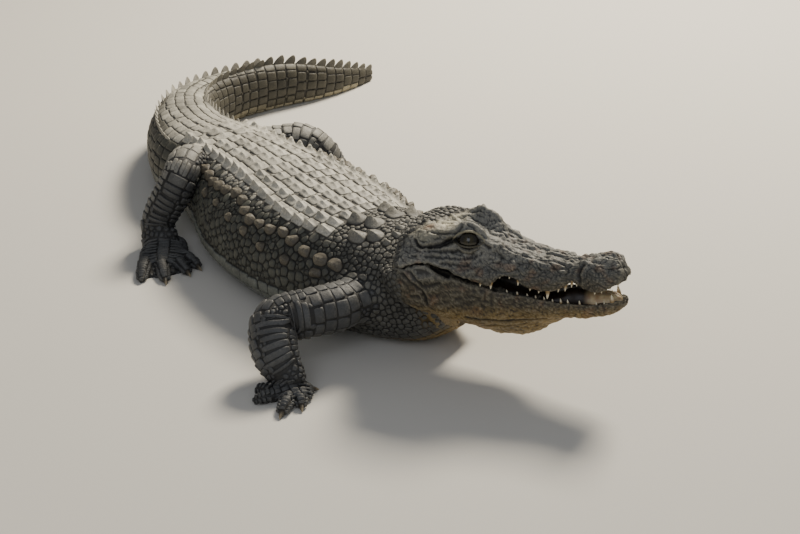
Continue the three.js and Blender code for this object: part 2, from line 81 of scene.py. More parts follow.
# %% Sections of the trunk, head and jaw
# Trunk, tail and neck. Each row is a section: x, y and height of its axis, half width, height
# above and depth below the axis, and how square its upper and lower halves are (2 is round).
SPINE = [
    [-862, 628, 17, 5, 14, 19, 2.0, 2.0],  # tip of the tail
    [-848, 592, 22, 9, 21, 24, 2.0, 2.0],
    [-834, 548, 28, 12, 28, 30, 2.0, 2.0],
    [-822, 495, 35, 15, 35, 37, 2.0, 2.1],
    [-817, 440, 43, 19, 43, 45, 2.0, 2.1],
    [-817, 380, 51, 23, 50, 53, 2.0, 2.1],
    [-814, 310, 55, 28, 54, 57, 2.0, 2.2],
    [-802, 235, 57, 34, 56, 59, 2.1, 2.3],
    [-768, 152, 59, 45, 60, 62, 2.2, 2.4],
    [-704, 80, 62, 60, 66, 66, 2.3, 2.5],
    [-620, 34, 66, 78, 70, 70, 2.3, 2.6],
    [-528, 6, 70, 96, 76, 73, 2.3, 2.7],
    [-434, -8, 70, 112, 88, 74, 2.3, 2.8],  # root of the tail
    [-336, -9, 68, 113, 104, 74, 2.3, 2.8],  # hips
    [-230, -10, 64, 134, 117, 70, 2.3, 2.8],
    [-110, -10, 62, 166, 123, 68, 2.3, 2.8],
    [10, -8, 62, 174, 124, 68, 2.3, 2.8],  # widest part of the belly
    [110, -6, 66, 162, 120, 74, 2.3, 2.8],
    [190, 0, 78, 142, 110, 88, 2.2, 2.8],  # shoulders
    [255, 13, 94, 122, 97, 102, 2.1, 2.6],
    [310, 33, 108, 108, 85, 106, 2.1, 2.4],  # neck
    [358, 58, 122, 92, 71, 88, 2.1, 2.2],
]
# The head lies on a datum line that runs back from the snout.
SNOUT = (637, 191, 192)
HEAD_HEADING = 36  # degrees to the left of the trunk
HEAD_PITCH = 5  # degrees up
GAPE = 6  # degrees that the lower jaw hangs open
HINGE = (352, 22)  # distance behind the snout tip, and height over the datum
# Upper jaw and skull. Each row: distance behind the snout tip, height of the midline,
# half width and height of the ridge beside it, of the flank below that, and of the lip.
SKULL = [
    [2, 19, 8, 17, 14, 8, 15, 3],
    [10, 30, 16, 28, 26, 14, 28, 1],
    [26, 35, 19, 35, 34, 17, 37, -5],  # mound of the nostrils
    [46, 33, 20, 32, 36, 13, 38, -12],
    [64, 30, 18, 29, 32, 13, 34, -8],
    [80, 27, 18, 25, 30, 13, 33, -2],  # notch for the big lower tooth
    [98, 27, 23, 28, 38, 12, 41, -8],
    [118, 30, 27, 31, 44, 10, 48, -12],  # bulge of the largest upper tooth
    [138, 33, 28, 34, 45, 11, 49, -12],
    [155, 37, 28, 37, 46, 13, 49, -6],
    [175, 42, 31, 43, 48, 24, 51, 7],
    [190, 47, 33, 50, 50, 28, 56, 11],
    [210, 54, 36, 66, 53, 30, 63, -4],
    [228, 59, 38, 81, 53, 38, 67, 0],
    [246, 64, 39, 88, 54, 46, 71, 7],  # eyes
    [262, 70, 41, 84, 57, 52, 75, 15],
    [282, 76, 44, 80, 60, 58, 79, 27],
    [305, 79, 48, 80, 65, 62, 82, 35],  # skull table and ears
    [326, 78, 46, 77, 68, 56, 84, 32],
    [348, 72, 42, 68, 66, 48, 82, 22],
    [368, 62, 36, 56, 56, 38, 66, 21],
]
# Lower jaw. Each row: distance behind the snout tip, half width, height of the lip,
# half width and height of the lower corner, and height of the chin line.
JAW = [
    [3, 12, 5, 8, -10, -12], [18, 24, 2, 17, -21, -24], [36, 31, -2, 22, -27, -29],
    [60, 33, -6, 24, -31, -34], [90, 36, -9, 26, -36, -44], [120, 42, -7, 32, -44, -66],
    [150, 46, -4, 38, -51, -86], [185, 53, -1, 44, -58, -96],  # pouch of the throat
    [220, 61, 4, 50, -62, -94], [255, 69, 12, 56, -62, -82], [285, 77, 26, 62, -58, -68],
    [312, 83, 38, 66, -52, -64], [338, 84, 28, 68, -46, -60], [366, 76, 12, 62, -38, -52],
    [390, 56, 0, 46, -28, -42],
]
EYE_PLACE = (245, 38, 60)  # behind the snout tip, out from the middle, over the datum
EYE_RADIUS = 20
# Teeth: distance behind the snout tip and length.
UPPER_TEETH = [
    [10, 4], [21, 4], [34, 4], [45, 4], [75, 4], [83, 7], [92, 9], [102, 6], [118, 14],
    [132, 4], [146, 4], [165, 7], [178, 4], [192, 4], [206, 9], [222, 4],
]
LOWER_TEETH = [
    [18, 14], [30, 4], [42, 4], [68, 6], [86, 7], [97, 7], [110, 4], [123, 5], [137, 4],
    [150, 4], [166, 4], [182, 4],
]
# %% Sections of the legs and paws
# Legs, with y outwards from the middle. Each row: x, y, z, half width and half height.
FORELEG_RIGHT = [
    [268, 42, 92, 46, 46], [292, 90, 92, 44, 43], [305, 140, 92, 42, 41],
    [302, 194, 93, 41, 40], [294, 244, 89, 41, 38],  # elbow
    [318, 264, 70, 40, 33], [338, 270, 54, 38, 28], [356, 268, 38, 33, 22],
    [368, 264, 27, 29, 18],  # wrist
    [382, 267, 18, 30, 14],
]
FORELEG_LEFT = [
    [180, 52, 100, 46, 48], [188, 98, 98, 44, 45], [196, 140, 96, 40, 41],
    [202, 176, 94, 38, 38], [206, 208, 87, 39, 36], [218, 226, 68, 40, 33],
    [238, 232, 52, 38, 28], [258, 230, 37, 33, 22], [272, 227, 26, 29, 18],
    [286, 228, 18, 30, 14],
]
HINDLEG_RIGHT = [
    [-330, 40, 96, 58, 58], [-312, 78, 112, 52, 52], [-288, 112, 132, 43, 43],
    [-262, 136, 144, 37, 37], [-244, 154, 134, 35, 36],  # knee
    [-244, 172, 106, 35, 35], [-250, 190, 76, 33, 32], [-250, 204, 48, 32, 28],
    [-238, 208, 32, 34, 22],  # ankle
    [-216, 212, 22, 38, 18],
]
HINDLEG_LEFT = [
    [-340, 36, 100, 56, 56], [-334, 78, 112, 50, 50], [-318, 120, 120, 44, 44],
    [-296, 148, 116, 40, 40], [-278, 164, 101, 36, 37], [-276, 178, 80, 34, 34],
    [-282, 194, 60, 32, 31], [-286, 210, 42, 30, 27], [-278, 222, 29, 32, 21],
    [-262, 234, 21, 35, 17],
]
# Paws. The palm's middle, its heading in degrees outwards from forwards, half length, half
# width and thickness, then the place where each digit ends and whether it has a claw.
HAND = dict(reach=26, breadth=28, thick=13, digit=10.5)
HAND_RIGHT = dict(HAND, palm=(386, 268), heading=8, tips=[
    (388, 222, 1), (438, 280, 1), (438, 320, 1), (372, 328, 0), (342, 308, 0)])
HAND_LEFT = dict(HAND, palm=(292, 230), heading=16, tips=[
    (312, 188, 1), (346, 222, 1), (352, 252, 1), (318, 284, 0), (280, 276, 0)])
FOOT_RIGHT = dict(palm=(-196, 218), heading=30, reach=46, breadth=42, thick=15, digit=11, tips=[
    (-110, 184, 1), (-98, 212, 1), (-90, 264, 1), (-126, 296, 0)])
FOOT_LEFT = dict(palm=(-248, 244), heading=24, reach=44, breadth=40, thick=15, digit=11, tips=[
    (-174, 224, 1), (-162, 252, 1), (-172, 282, 1), (-202, 302, 0)])
LEGS = {
    "foreleg_right": (FORELEG_RIGHT, -1, HAND_RIGHT),
    "foreleg_left": (FORELEG_LEFT, 1, HAND_LEFT),
    "hindleg_right": (HINDLEG_RIGHT, -1, FOOT_RIGHT),
    "hindleg_left": (HINDLEG_LEFT, 1, FOOT_LEFT),
}
CLAW_SHOWN = 13  # length of claw beyond the end of its digit
print(len(SPINE), "sections of the spine and", len(SKULL) + len(JAW), "of the head")

# %% [markdown]
# ## Reading a table smoothly
#
# Straight lines between sections would show as corners. A Catmull-Rom curve passes through
# every row and bends smoothly between them. NumPy reads a whole array of places at once, which
# keeps a mesh of a hundred thousand points quick.

# %% Curves and small vector helpers
UP = np.array([0.0, 0.0, 1.0])


def through(a, b, c, d, f):
    """A share f of the way from b to c, on the curve through all four."""
    return b + 0.5 * f * (c - a + f * (2 * a - 5 * b + 4 * c - d + f * (3 * b - a - 3 * c + d)))


def read(table, t):
    """Rows of a table at the row numbers t, as a smooth curve."""
    rows = np.asarray(table, float)
    last = len(rows) - 1
    t = np.clip(np.asarray(t, float), 0, last)
    i = np.minimum(t.astype(int), last - 1)
    return through(*(rows[np.clip(i + k, 0, last)] for k in (-1, 0, 1, 2)), (t - i)[..., None])


def length(v):
    return np.linalg.norm(v, axis=-1, keepdims=True)


def unit(v):
    return v / np.maximum(length(v), 1e-9)


def power(v, e):
    return np.sign(v) * np.abs(v) ** e


def ramp(x, low, high):
    """0 below low, 1 above high, and a smooth step between."""
    s = np.clip((np.asarray(x, float) - low) / (high - low), 0, 1)
    return s * s * (3 - 2 * s)


def way_along(table, t):
    """The direction in which a table's line runs at row numbers t."""
    return unit(read(table, np.add(t, 0.05))[..., :3] - read(table, np.subtract(t, 0.05))[..., :3])


def turns(count):
    """Angles evenly round a circle."""
    return np.linspace(0, 2 * math.pi, count, endpoint=False)


def spine_point(t, angle):
    """A point of a section's outline; angle 0 is its top, and positive angles are on the left."""
    row, forward = read(SPINE, t), way_along(SPINE, t)
    left = unit(np.cross(UP, forward))
    up = np.cross(forward, left)
    c = np.cos(angle)
    square = np.where(c > 0, row[..., 6], row[..., 7])
    side = row[..., 3] * power(np.sin(angle), 2 / square)
    height = np.where(c > 0, row[..., 4], row[..., 5]) * power(c, 2 / square)
    return row[..., :3] + left * side[..., None] + up * height[..., None]


HEAD_TURN = np.array(
    Euler((0, -math.radians(HEAD_PITCH), math.radians(HEAD_HEADING))).to_matrix())


def on_head(behind, side, height):
    """From behind the snout tip, out to the left and over the datum, to the tables' frame."""
    local = np.stack(np.broadcast_arrays(-np.asarray(behind, float), side, height), -1)
    return local @ HEAD_TURN.T + SNOUT


def in_head(points):
    """The way back: behind the snout tip, out to the left and over the datum."""
    return ((points - SNOUT) @ HEAD_TURN) * (-1, 1, 1)


# %% [markdown]
# ## Where the tables lie in the model
#
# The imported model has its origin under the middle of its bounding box. The two eyes are in both
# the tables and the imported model, so the way from one frame to the other is measured on them.

# %% Find the way from the tables to the model
MM = 0.001
eye_middles = [sum(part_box(name), Vector()) / 2 for name in ("eye_left", "eye_right")]
ORIGIN = np.array(sum(eye_middles, Vector()) / 2) - MM * on_head(EYE_PLACE[0], 0, EYE_PLACE[2])
ORIGIN[2] = 0
print("the tables' origin lies at", ORIGIN.round(4), "m")


def in_scene(points):
    return np.asarray(points, float) * MM + ORIGIN


# %% [markdown]
# ## Sheets: surfaces with two rulers on them
#
# A sheet here is a tube of points, in rings along a line. Its places are evenly spaced, so an
# index on it is a length, and a scale laid anywhere keeps its size. Each ring starts at the top.

# %% Make tubes of evenly spaced places
class Sheet:
    """Rings of points along a tube, as an array of rings by places by three, in millimetres."""

    def __init__(self, points):
        self.points = points
        self.rings, self.places = points.shape[:2]
        ahead = np.gradient(points, axis=0)
        across = (np.roll(points, -1, 1) - np.roll(points, 1, 1)) / 2
        self.normals = unit(np.cross(across, ahead))
        outwards = points - points.mean(1, keepdims=True)
        if (self.normals * outwards).sum() < 0:
            self.normals = -self.normals
        self.ahead, self.across = ahead, across
        self.girth = length(across)[..., 0].sum(1)

    def at(self, i, j):
        """Point, normal and the rulers' two vectors at ring i and place j, fractions too."""
        i = np.clip(i, 0, self.rings - 1.001)
        i0, j0 = np.floor(i).astype(int), np.floor(j).astype(int)
        u, v = (i - i0)[..., None], (j - j0)[..., None]
        ja, jb = j0 % self.places, (j0 + 1) % self.places

        def blend(values):
            near = values[i0, ja] * (1 - v) + values[i0, jb] * v
            far = values[i0 + 1, ja] * (1 - v) + values[i0 + 1, jb] * v
            return near * (1 - u) + far * u

        return blend(self.points), unit(blend(self.normals)), blend(self.ahead), blend(self.across)

    def grown(self, depth):
        """A sheet with each point moved out along its normal."""
        return Sheet(self.points + self.normals * np.asarray(depth))


def evenly_round(points, places, weights=1.0):
    """Moves the places of each ring to even distances, closer together where the weight is more."""
    closed = np.concatenate([points, points[:, :1]], 1)
    steps = length(np.diff(closed, axis=1))[..., 0] * weights
    walked = np.concatenate([np.zeros((len(points), 1)), np.cumsum(steps, 1)], 1)
    share = np.arange(places) / places
    made = np.empty((len(points), places, 3))
    for ring, far, new in zip(closed, walked, made):
        for k in range(3):
            new[:, k] = np.interp(share * far[-1], far, ring[:, k])
    return made


def at_ring(ring, values):
    """A value that each ring has, at ring numbers that may be fractions."""
    return np.interp(ring, np.arange(len(values)), values)


def evenly_along(table, start, end, step, columns=(0, 1, 2)):
    """Row numbers at even distances along the curve of some columns of a table."""
    t = np.linspace(start, end, 4000)
    line = read(table, t)[:, list(columns)]
    walked = np.concatenate([[0], np.cumsum(length(np.diff(line, axis=0))[:, 0])])
    count = max(int(round(walked[-1] / step)), 3)
    return np.interp(np.linspace(0, walked[-1], count + 1), walked, t)


ROUND = turns(480)


def body_sheet(step, places):
    t = evenly_along(SPINE, 0, len(SPINE) - 1, step)
    dense = spine_point(t[:, None], ROUND[None])
    return t, Sheet(evenly_round(dense, places))


# mm between the rings that scales are laid by, and for the skull and jaw those of the skin
BODY_STEP, LEG_STEP, PAW_STEP, SKULL_STEP, JAW_STEP = 6, 5, 3, 1.75, 2.5
body_t, body = body_sheet(BODY_STEP, places=160)
print("the body is", body.rings * BODY_STEP, "mm long and", int(body.girth.max()), "mm round")

# %% [markdown]
# ## Head, legs and paws as sheets
#
# The skull and the jaw are two lofts that share the hinge. A leg's sections are carried along
# its line without twisting. A paw is a low pad with a tube for each digit.

# %% Loft the skull and the jaw
def profile(rows, u):
    """A smooth curve through points that differ from section to section."""
    rows = np.stack([np.stack(np.broadcast_arrays(*row), -1) for row in rows], -2)
    last = rows.shape[-2] - 1
    i = np.clip(np.floor(u).astype(int), 0, last - 1)

    def pick(k):
        which = np.broadcast_to(np.clip(i + k, 0, last)[..., None, None], rows.shape[:-2] + (1, 2))
        return np.take_along_axis(rows, which, -2)[..., 0, :]

    return through(pick(-1), pick(0), pick(1), pick(2), (u - i)[..., None])


def turned_jaw(behind, height, gape):
    """A place on the head after a turn about the hinge, in degrees."""
    c, s = math.cos(math.radians(gape)), math.sin(math.radians(gape))
    dx, dz = HINGE[0] - behind, height - HINGE[1]
    return HINGE[0] - (c * dx + s * dz), HINGE[1] + c * dz - s * dx


def row_and_share(table, t, angle):
    """A section's values, if a place is on its upper half, and how near to that half's middle."""
    t, angle = np.broadcast_arrays(t, angle)
    c = np.cos(angle)
    return np.moveaxis(read(table, t), -1, 0), c >= 0, 1 - np.arccos(np.abs(c)) / (math.pi / 2)


def skull_point(t, angle):
    (behind, top, s1, c1, s2, c2, width, lip), above, share = row_and_share(SKULL, t, angle)
    cheek, edge = lip + 0.35 * (c2 - lip), lip + 0.08 * (c2 - lip)
    outline = profile([(-s1, c1), (0 * s1, top), (s1, c1), (s2, c2), (width, cheek),
                       (width - 1, edge), (0.88 * width, lip), (0.7 * width, lip)],
                      1 + (1 - share) * 5)
    side = np.where(above, outline[..., 0], 0.88 * width * (1 - share))
    height = np.where(above, outline[..., 1], lip + 5 * share)
    return on_head(behind, np.sign(np.sin(angle)) * side, height)


def jaw_point(t, angle):
    (behind, width, lip, s1, c1, chin), above, share = row_and_share(JAW, t, angle)
    outline = profile([(0.8 * width, lip + 2), (width - 2, lip), (width, 0.5 * (lip + c1)),
                       (s1, c1), (0 * s1, chin), (-s1, c1)], 1 + share * 3)
    side = np.where(above, (width - 2) * (1 - share), outline[..., 0])
    height = np.where(above, lip - 5 * share, outline[..., 1])
    behind, height = turned_jaw(behind, height, GAPE)
    return on_head(behind, np.sign(np.sin(angle)) * side, height)


def head_sheet(table, point_on, step, places, inner_weight):
    """inner_weight thins out the places on the half that faces the other jaw."""
    t = evenly_along(table, 0, len(table) - 1, step, columns=(0,))[::-1]
    upper = np.cos(ROUND + math.pi / len(ROUND)) >= 0
    inside = upper if table is JAW else ~upper
    dense = point_on(t[:, None], ROUND[None] + 1e-6)
    return Sheet(evenly_round(dense, places, np.where(inside, inner_weight, 1.0)))


# %% Loft the legs and the paws
def leg_sheet(table, side, step, places):
    rows = np.array(table, float) * (1, side, 1, 1, 1)
    t = evenly_along(rows, 0, len(rows) - 1, step)
    forward = way_along(rows, t)
    ups, up = [], UP
    for way in forward:
        up = unit(up - way * (up @ way))
        ups.append(up)
    ups = np.array(ups)
    left = np.cross(ups, forward)
    row = read(rows, t)
    sine, cosine = np.sin(ROUND)[None, :, None], np.cos(ROUND)[None, :, None]
    dense = (row[:, None, :3] + left[:, None] * row[:, None, 3:4] * sine
             + ups[:, None] * row[:, None, 4:5] * cosine)
    return Sheet(evenly_round(dense, places))


def along_floor(rows, start, ahead, rings, places):
    """A pad or digit lying on the floor. Rows: distance, half width, half height, middle height."""
    far, width, high, z = np.moveaxis(read(rows, np.linspace(0, len(rows) - 1, rings)), -1, 0)
    ahead = np.array([*ahead, 0.0])
    left = np.array([-ahead[1], ahead[0], 0])
    turn = turns(places)
    middle = np.array([*start, 0.0]) + far[:, None] * ahead + z[:, None] * UP
    return Sheet(middle[:, None] + left * (width[:, None] * np.sin(turn))[..., None]
                 + UP * (high[:, None] * np.cos(turn))[..., None])


def paw_sheets(shape, side):
    """The palm, its digits, and where each claw starts and points."""
    reach, breadth, thick, digit = (shape[k] for k in ("reach", "breadth", "thick", "digit"))
    start = np.array(shape["palm"]) * (1, side)
    turn = math.radians(side * shape["heading"])
    ahead = np.array([math.cos(turn), math.sin(turn)])
    left = np.array([-ahead[1], ahead[0]])
    palm = along_floor([
        (-reach, breadth * 0.8, thick, thick), (-reach * 0.3, breadth, thick, thick * 0.9),
        (reach * 0.5, breadth, thick * 0.8, thick * 0.7),
        (reach, breadth * 0.7, thick * 0.5, thick * 0.4)], start, ahead, 18, 36)
    digits, claws = [], []
    for n, (x, out, clawed) in enumerate(shape["tips"]):
        root = start + left * side * (n / (len(shape["tips"]) - 1) - 0.5) * 1.5 * breadth
        way = np.array([x, side * out]) - root
        far = math.hypot(*way) - (CLAW_SHOWN if clawed else 0)
        way = way / math.hypot(*way)
        digits.append(along_floor([
            (0, digit, digit, digit * 0.88), (far * 0.4, digit * 0.98, digit, digit * 0.88),
            (far * 0.75, digit * 0.88, digit * 0.92, digit * 0.8),
            (far, digit * 0.58, digit * 0.6, digit * 0.54)], root, way, int(far / 3), 20))
        if clawed:
            claws.append((root + way * far, way))
    return palm, digits, claws


legs = {name: leg_sheet(table, side, LEG_STEP, 80) for name, (table, side, _) in LEGS.items()}
paws = {name: paw_sheets(shape, side) for name, (_, side, shape) in LEGS.items()}
skull = head_sheet(SKULL, skull_point, SKULL_STEP, 172, 0.2)
jaw = head_sheet(JAW, jaw_point, JAW_STEP, 110, 0.3)
print("legs", {name: sheet.rings for name, sheet in legs.items()}, "skull", skull.points.shape)

# %% [markdown]
# ## One skin out of many tubes
#
# Tubes that only run through each other would show a hard line at every shoulder. A Boolean
# union makes one closed surface of them. It is then relaxed where two tubes meet: each point
# moves towards the middle of its neighbours, and the line turns into the soft hollow of an
# armpit. A voxel remesh has one size of face everywhere, and the head needs finer ones.

# %% Turn a tube into a closed mesh
DOME_ANGLES = (0.5, 0.95, 1.3)  # radians from the rim, of the rings that close an end


def rounded(sheet, first=0.0, last=0.0):
    """Adds rings beyond an end, so that it closes as a dome of that depth."""
    points = sheet.points
    for depth, end, inner in ((first, 0, 1), (last, -1, -2)):
        if not depth:
            continue
        ring = points[end]
        middle = ring.mean(0)
        way = unit(middle - points[inner].mean(0))
        dome = [middle + (ring - middle) * math.cos(a) + way * depth * math.sin(a)
                for a in DOME_ANGLES]
        points = np.concatenate([dome[::-1], points] if end == 0 else [points, dome])
    return Sheet(points)


def quads_between(rings, places):
    """Four-sided faces between rings of points that are numbered one ring after another."""
    i, j = np.meshgrid(np.arange(rings - 1), np.arange(places), indexing="ij")
    a, b = i * places + j, i * places + (j + 1) % places
    return np.stack([a, b, b + places, a + places], -1).reshape(-1, 4)


def facing_out(points, faces):
    """Turns closed faces round if the volume inside them is negative."""
    total = 0.0
    for group in faces:
        for k in range(1, group.shape[1] - 1):
            a, b, c = points[group[:, 0]], points[group[:, k]], points[group[:, k + 1]]
            total += np.einsum("ij,ij->", a, np.cross(b, c))
    return [group[:, ::-1] for group in faces] if total < 0 else faces


def closed(sheet):
    """Points and faces of a tube whose ends are fans."""
    n, m = sheet.rings, sheet.places
    near, far = np.arange(m), (n - 1) * m + np.arange(m)
    fans = np.concatenate([
        np.stack([np.roll(near, -1), near, np.full(m, n * m)], 1),
        np.stack([far, np.roll(far, -1), np.full(m, n * m + 1)], 1),
    ])
    ends = [sheet.points[0].mean(0), sheet.points[-1].mean(0)]
    return np.concatenate([sheet.points.reshape(-1, 3), ends]), [quads_between(n, m), fans]


def joined(sheets):
    """Many closed tubes as the points and faces of one mesh."""
    points, groups, start = [], {4: [], 3: []}, 0
    for sheet in sheets:
        made, faces = closed(sheet)
        for group in facing_out(made, faces):
            groups[group.shape[1]].append(group + start)
        points.append(made)
        start += len(made)
    return np.concatenate(points), [np.concatenate(group) for group in groups.values()]


def put_in_scene(name, data):
    made = bpy.data.objects.new(name, data)
    bpy.context.scene.collection.objects.link(made)
    return made


def make_object(name, points, faces, material=None):
    """A mesh object from points in the tables' millimetres and groups of faces of one width."""
    mesh = bpy.data.meshes.new(name)
    mesh.vertices.add(len(points))
    mesh.vertices.foreach_set("co", in_scene(points).astype(np.float32).ravel())
    sizes = np.concatenate([np.full(len(group), group.shape[1]) for group in faces])
    corners = np.concatenate([group.ravel() for group in faces])
    mesh.loops.add(len(corners))
    mesh.loops.foreach_set("vertex_index", corners.astype(np.int32))
    mesh.polygons.add(len(sizes))
    mesh.polygons.foreach_set("loop_start", (np.cumsum(sizes) - sizes).astype(np.int32))
    mesh.update(calc_edges=True)
    mesh.polygons.foreach_set("use_smooth", np.ones(len(sizes), bool))
    if material:
        mesh.materials.append(material)
    return put_in_scene(name, mesh)


def values_of(items, key, width, kind=np.float32):
    """A property of all the points, edges or corners of a mesh as rows of an array."""
    found = np.empty(len(items) * width, kind)
    items.foreach_get(key, found)
    return found.reshape(-1, width)


# %% Gather the tubes of flesh
# The skin lies under the outline of the solids by the thickness of the scales on it.
BODY_COAT, TAIL_COAT, NECK_COAT, LEG_COAT, PAW_COAT = 4.0, 3.0, 3.0, 2.2, 1.0  # mm


coarse_t, coarse_body = body_sheet(9, places=84)
coat = (TAIL_COAT + (BODY_COAT - TAIL_COAT) * ramp(coarse_t, 9, 13)
        + (NECK_COAT - BODY_COAT) * ramp(coarse_t, 18, 20))
tubes = [rounded(coarse_body.grown(-coat[:, None, None]), first=6)]
tubes += [rounded(skull, last=4), rounded(jaw, last=4)]
for name, (table, side, _) in LEGS.items():
    tubes.append(leg_sheet(table, side, 6, 44).grown(-LEG_COAT))
    palm, digits, _ = paws[name]
    tubes += [rounded(part.grown(-PAW_COAT), first=2, last=2) for part in [palm, *digits]]


def web(first, second, share):
    """A thin web between two digits, out to a share of their length."""
    steps = np.linspace(0, share, 9)
    a, b = (sheet.points.mean(1) for sheet in (first, second))
    a, b = a[(steps * (len(a) - 1)).astype(int)], b[(steps * (len(b) - 1)).astype(int)]
    middle, half = (a + b) / 2, (b - a) / 2
    thick = np.linspace(6, 1.6, len(steps))
    middle[:, 2] = thick + 0.6
    half[:, 2] = 0
    turn = turns(24)
    return Sheet(middle[:, None] + half[:, None] * np.sin(turn)[None, :, None]
                 + UP * (thick[:, None] * np.cos(turn))[..., None])


for name in ("hindleg_right", "hindleg_left"):
    tubes += [web(a, b, 0.72) for a, b in zip(paws[name][1], paws[name][1][1:])]
print(len(tubes), "tubes with", sum(tube.rings * tube.places for tube in tubes), "places")

# %% Unite them
parts = [make_object(f"tube_{n}", *joined([tube])) for n, tube in enumerate(tubes)]
base = parts[0]
for other in parts[1:]:
    join = base.modifiers.new("join", "BOOLEAN")
    join.operation = "UNION"
    join.solver = "MANIFOLD"
    join.object = other
united = bpy.data.meshes.new_from_object(base.evaluated_get(bpy.context.evaluated_depsgraph_get()))
for part in parts:
    bpy.data.objects.remove(part)
print("united into", len(united.vertices), "points and", len(united.polygons), "faces")

# %% [markdown]
# ## Relax the joins
#
# Relaxing is only wanted near the joins, so each point gets a weight from its distance to a few
# named spots. Then everything that went below the floor is pressed flat on it.

# %% Relax around the joins
def neighbours_mean(values, edges):
    a, b = edges.T
    count = len(values)
    total = np.stack([np.bincount(a, values[b, k], count) + np.bincount(b, values[a, k], count)
                      for k in range(values.shape[1])], 1)
    return total / np.maximum(np.bincount(edges.ravel(), minlength=count), 1)[:, None]


def relaxed(points, edges, weight, rounds):
    for _ in range(rounds):
        points = points + weight[:, None] * (neighbours_mean(points, edges) - points)
    return points


def near(points, spot, radius):
    return 1 - ramp(length(points - np.array(spot, float))[:, 0], 0.55 * radius, radius)


skin_edges = values_of(united.edges, "vertices", 2, np.int32)
skin_points = (values_of(united.vertices, "co", 3).astype(float) - ORIGIN) / MM
JOINS = [  # shoulders and hips: spot and radius
    ((296, -92, 92), 62), ((190, 100, 98), 58), ((-306, -98, 118), 64), ((-330, 96, 116), 60),
]
WRISTS = [(np.array(table[row][:3]) * (1, side, 1), radius)
          for table, side, _ in LEGS.values() for row, radius in ((8, 34), (9, 44))]
soft = np.max([near(skin_points, *spot) for spot in JOINS], 0)
skin_points = relaxed(skin_points, skin_edges, soft, 40)
small = np.max([near(skin_points, *spot) for spot in WRISTS], 0)
skin_points = relaxed(skin_points, skin_edges, small * 0.6, 6)
behind = in_head(skin_points)[:, 0]
nape = near(skin_points, on_head(374, 0, 0), 125) * ramp(behind, 340, 362)
skin_points = relaxed(skin_points, skin_edges, nape, 14)
skin_points[:, 2] = np.maximum(skin_points[:, 2], 0.0)
print("relaxed", int((soft + small + nape > 0.01).sum()), "points")

# %% [markdown]
# ## Sculpt the head
#
# A crocodile's head has no separate scales: its skin is drawn tight over rough bone and cracks
# as it grows. So it is shaped like clay, with two strokes, a swell and a crease, each put at a
# place on the head in millimetres, and with lumps and cracks all over. A sculpting brush could
# do it by hand, but strokes written down can be moved and tried again.

# %% Strokes of the sculptor
def skin_normals():
    """Smooth normals of the skin as it is now."""
    united.vertices.foreach_set("co", in_scene(skin_points).astype(np.float32).ravel())
    united.update()
    return values_of(united.vertices, "normal", 3).astype(float)


def one_side(place):
    """Folds the right half of the head over onto the left half."""
    return np.stack([place[:, 0], np.abs(place[:, 1]), place[:, 2]], 1)


def swell(place, centre, radii, height):
    """A soft mound at a place on both sides of the head."""
    q = (one_side(place) - centre) / radii
    return height * np.exp(-(q * q).sum(1))


def from_line(place, line):
    """Distance of each place to a chain of straight lines, on both sides of the head."""
    q = one_side(place)
    best = np.full(len(q), 1e9)
    for a, b in zip(np.array(line[:-1], float), np.array(line[1:], float)):
        along = np.clip(((q - a) @ (b - a)) / ((b - a) @ (b - a)), 0, 1)
        best = np.minimum(best, length(q - a - along[:, None] * (b - a))[:, 0])
    return best


def ripple(points, size, seed=0):
    """Smooth noise from -1 to 1 with lumps of one size."""
    shift = Vector((seed, seed * 2, seed * 3))
    return np.array([noise.noise(Vector(p) / size + shift) for p in points])


def furrows(points, size, seed):
    """1 along wandering lines between soft lumps, and 0 beside them."""
    return np.exp(-((ripple(points, size, seed) / 0.085) ** 2))


def cracks(points, size, seed):
    """0 along the cracks between cells of one size, and 1 in the middle of a cell."""
    shift = Vector((seed, 0, seed))
    found = np.empty(len(points))
    for n, p in enumerate(points):
        near_two = noise.voronoi(Vector(p) / size + shift)[0]
        found[n] = near_two[1] - near_two[0]
    return ramp(found, 0.02, 0.32)


# %% Where the strokes go
# Places are behind the snout tip, out from the middle and over the datum, in mm.
SWELLS = [  # place, radii, height
    ((24, 13, 36), (13, 9, 10), 2.5),  # rims of the nostrils
    ((48, 12, 34), (16, 12, 8), 1.5),  # the bulb of the nose runs back
    ((248, 38, 90), (24, 11, 8), 3.0),  # brow over the eye
    ((222, 36, 80), (10, 9, 9), 2.5),  # front of the brow
    ((196, 30, 48), (16, 12, 8), 2.0),  # ridge in front of the eye
    ((168, 28, 44), (14, 10, 8), 1.8),
    ((308, 62, 70), (16, 12, 7), 4.5),  # flap over the ear
    ((310, 80, 10), (24, 14, 9), 5.0),  # cheek behind the mouth
    ((352, 78, 30), (12, 16, 14), 4.0),
    ((118, 44, 2), (16, 14, 12), 3.5),  # socket of the largest upper tooth
    ((100, 40, 6), (9, 10, 10), 1.5),
    ((30, 34, 0), (12, 9, 9), 2.0),
    ((206, 60, 14), (14, 10, 9), 2.5),  # lip over the second large tooth
    ((232, 64, 20), (16, 10, 9), 2.0),
    ((270, 68, 40), (26, 8, 6), 2.0),  # folds of the cheek
]
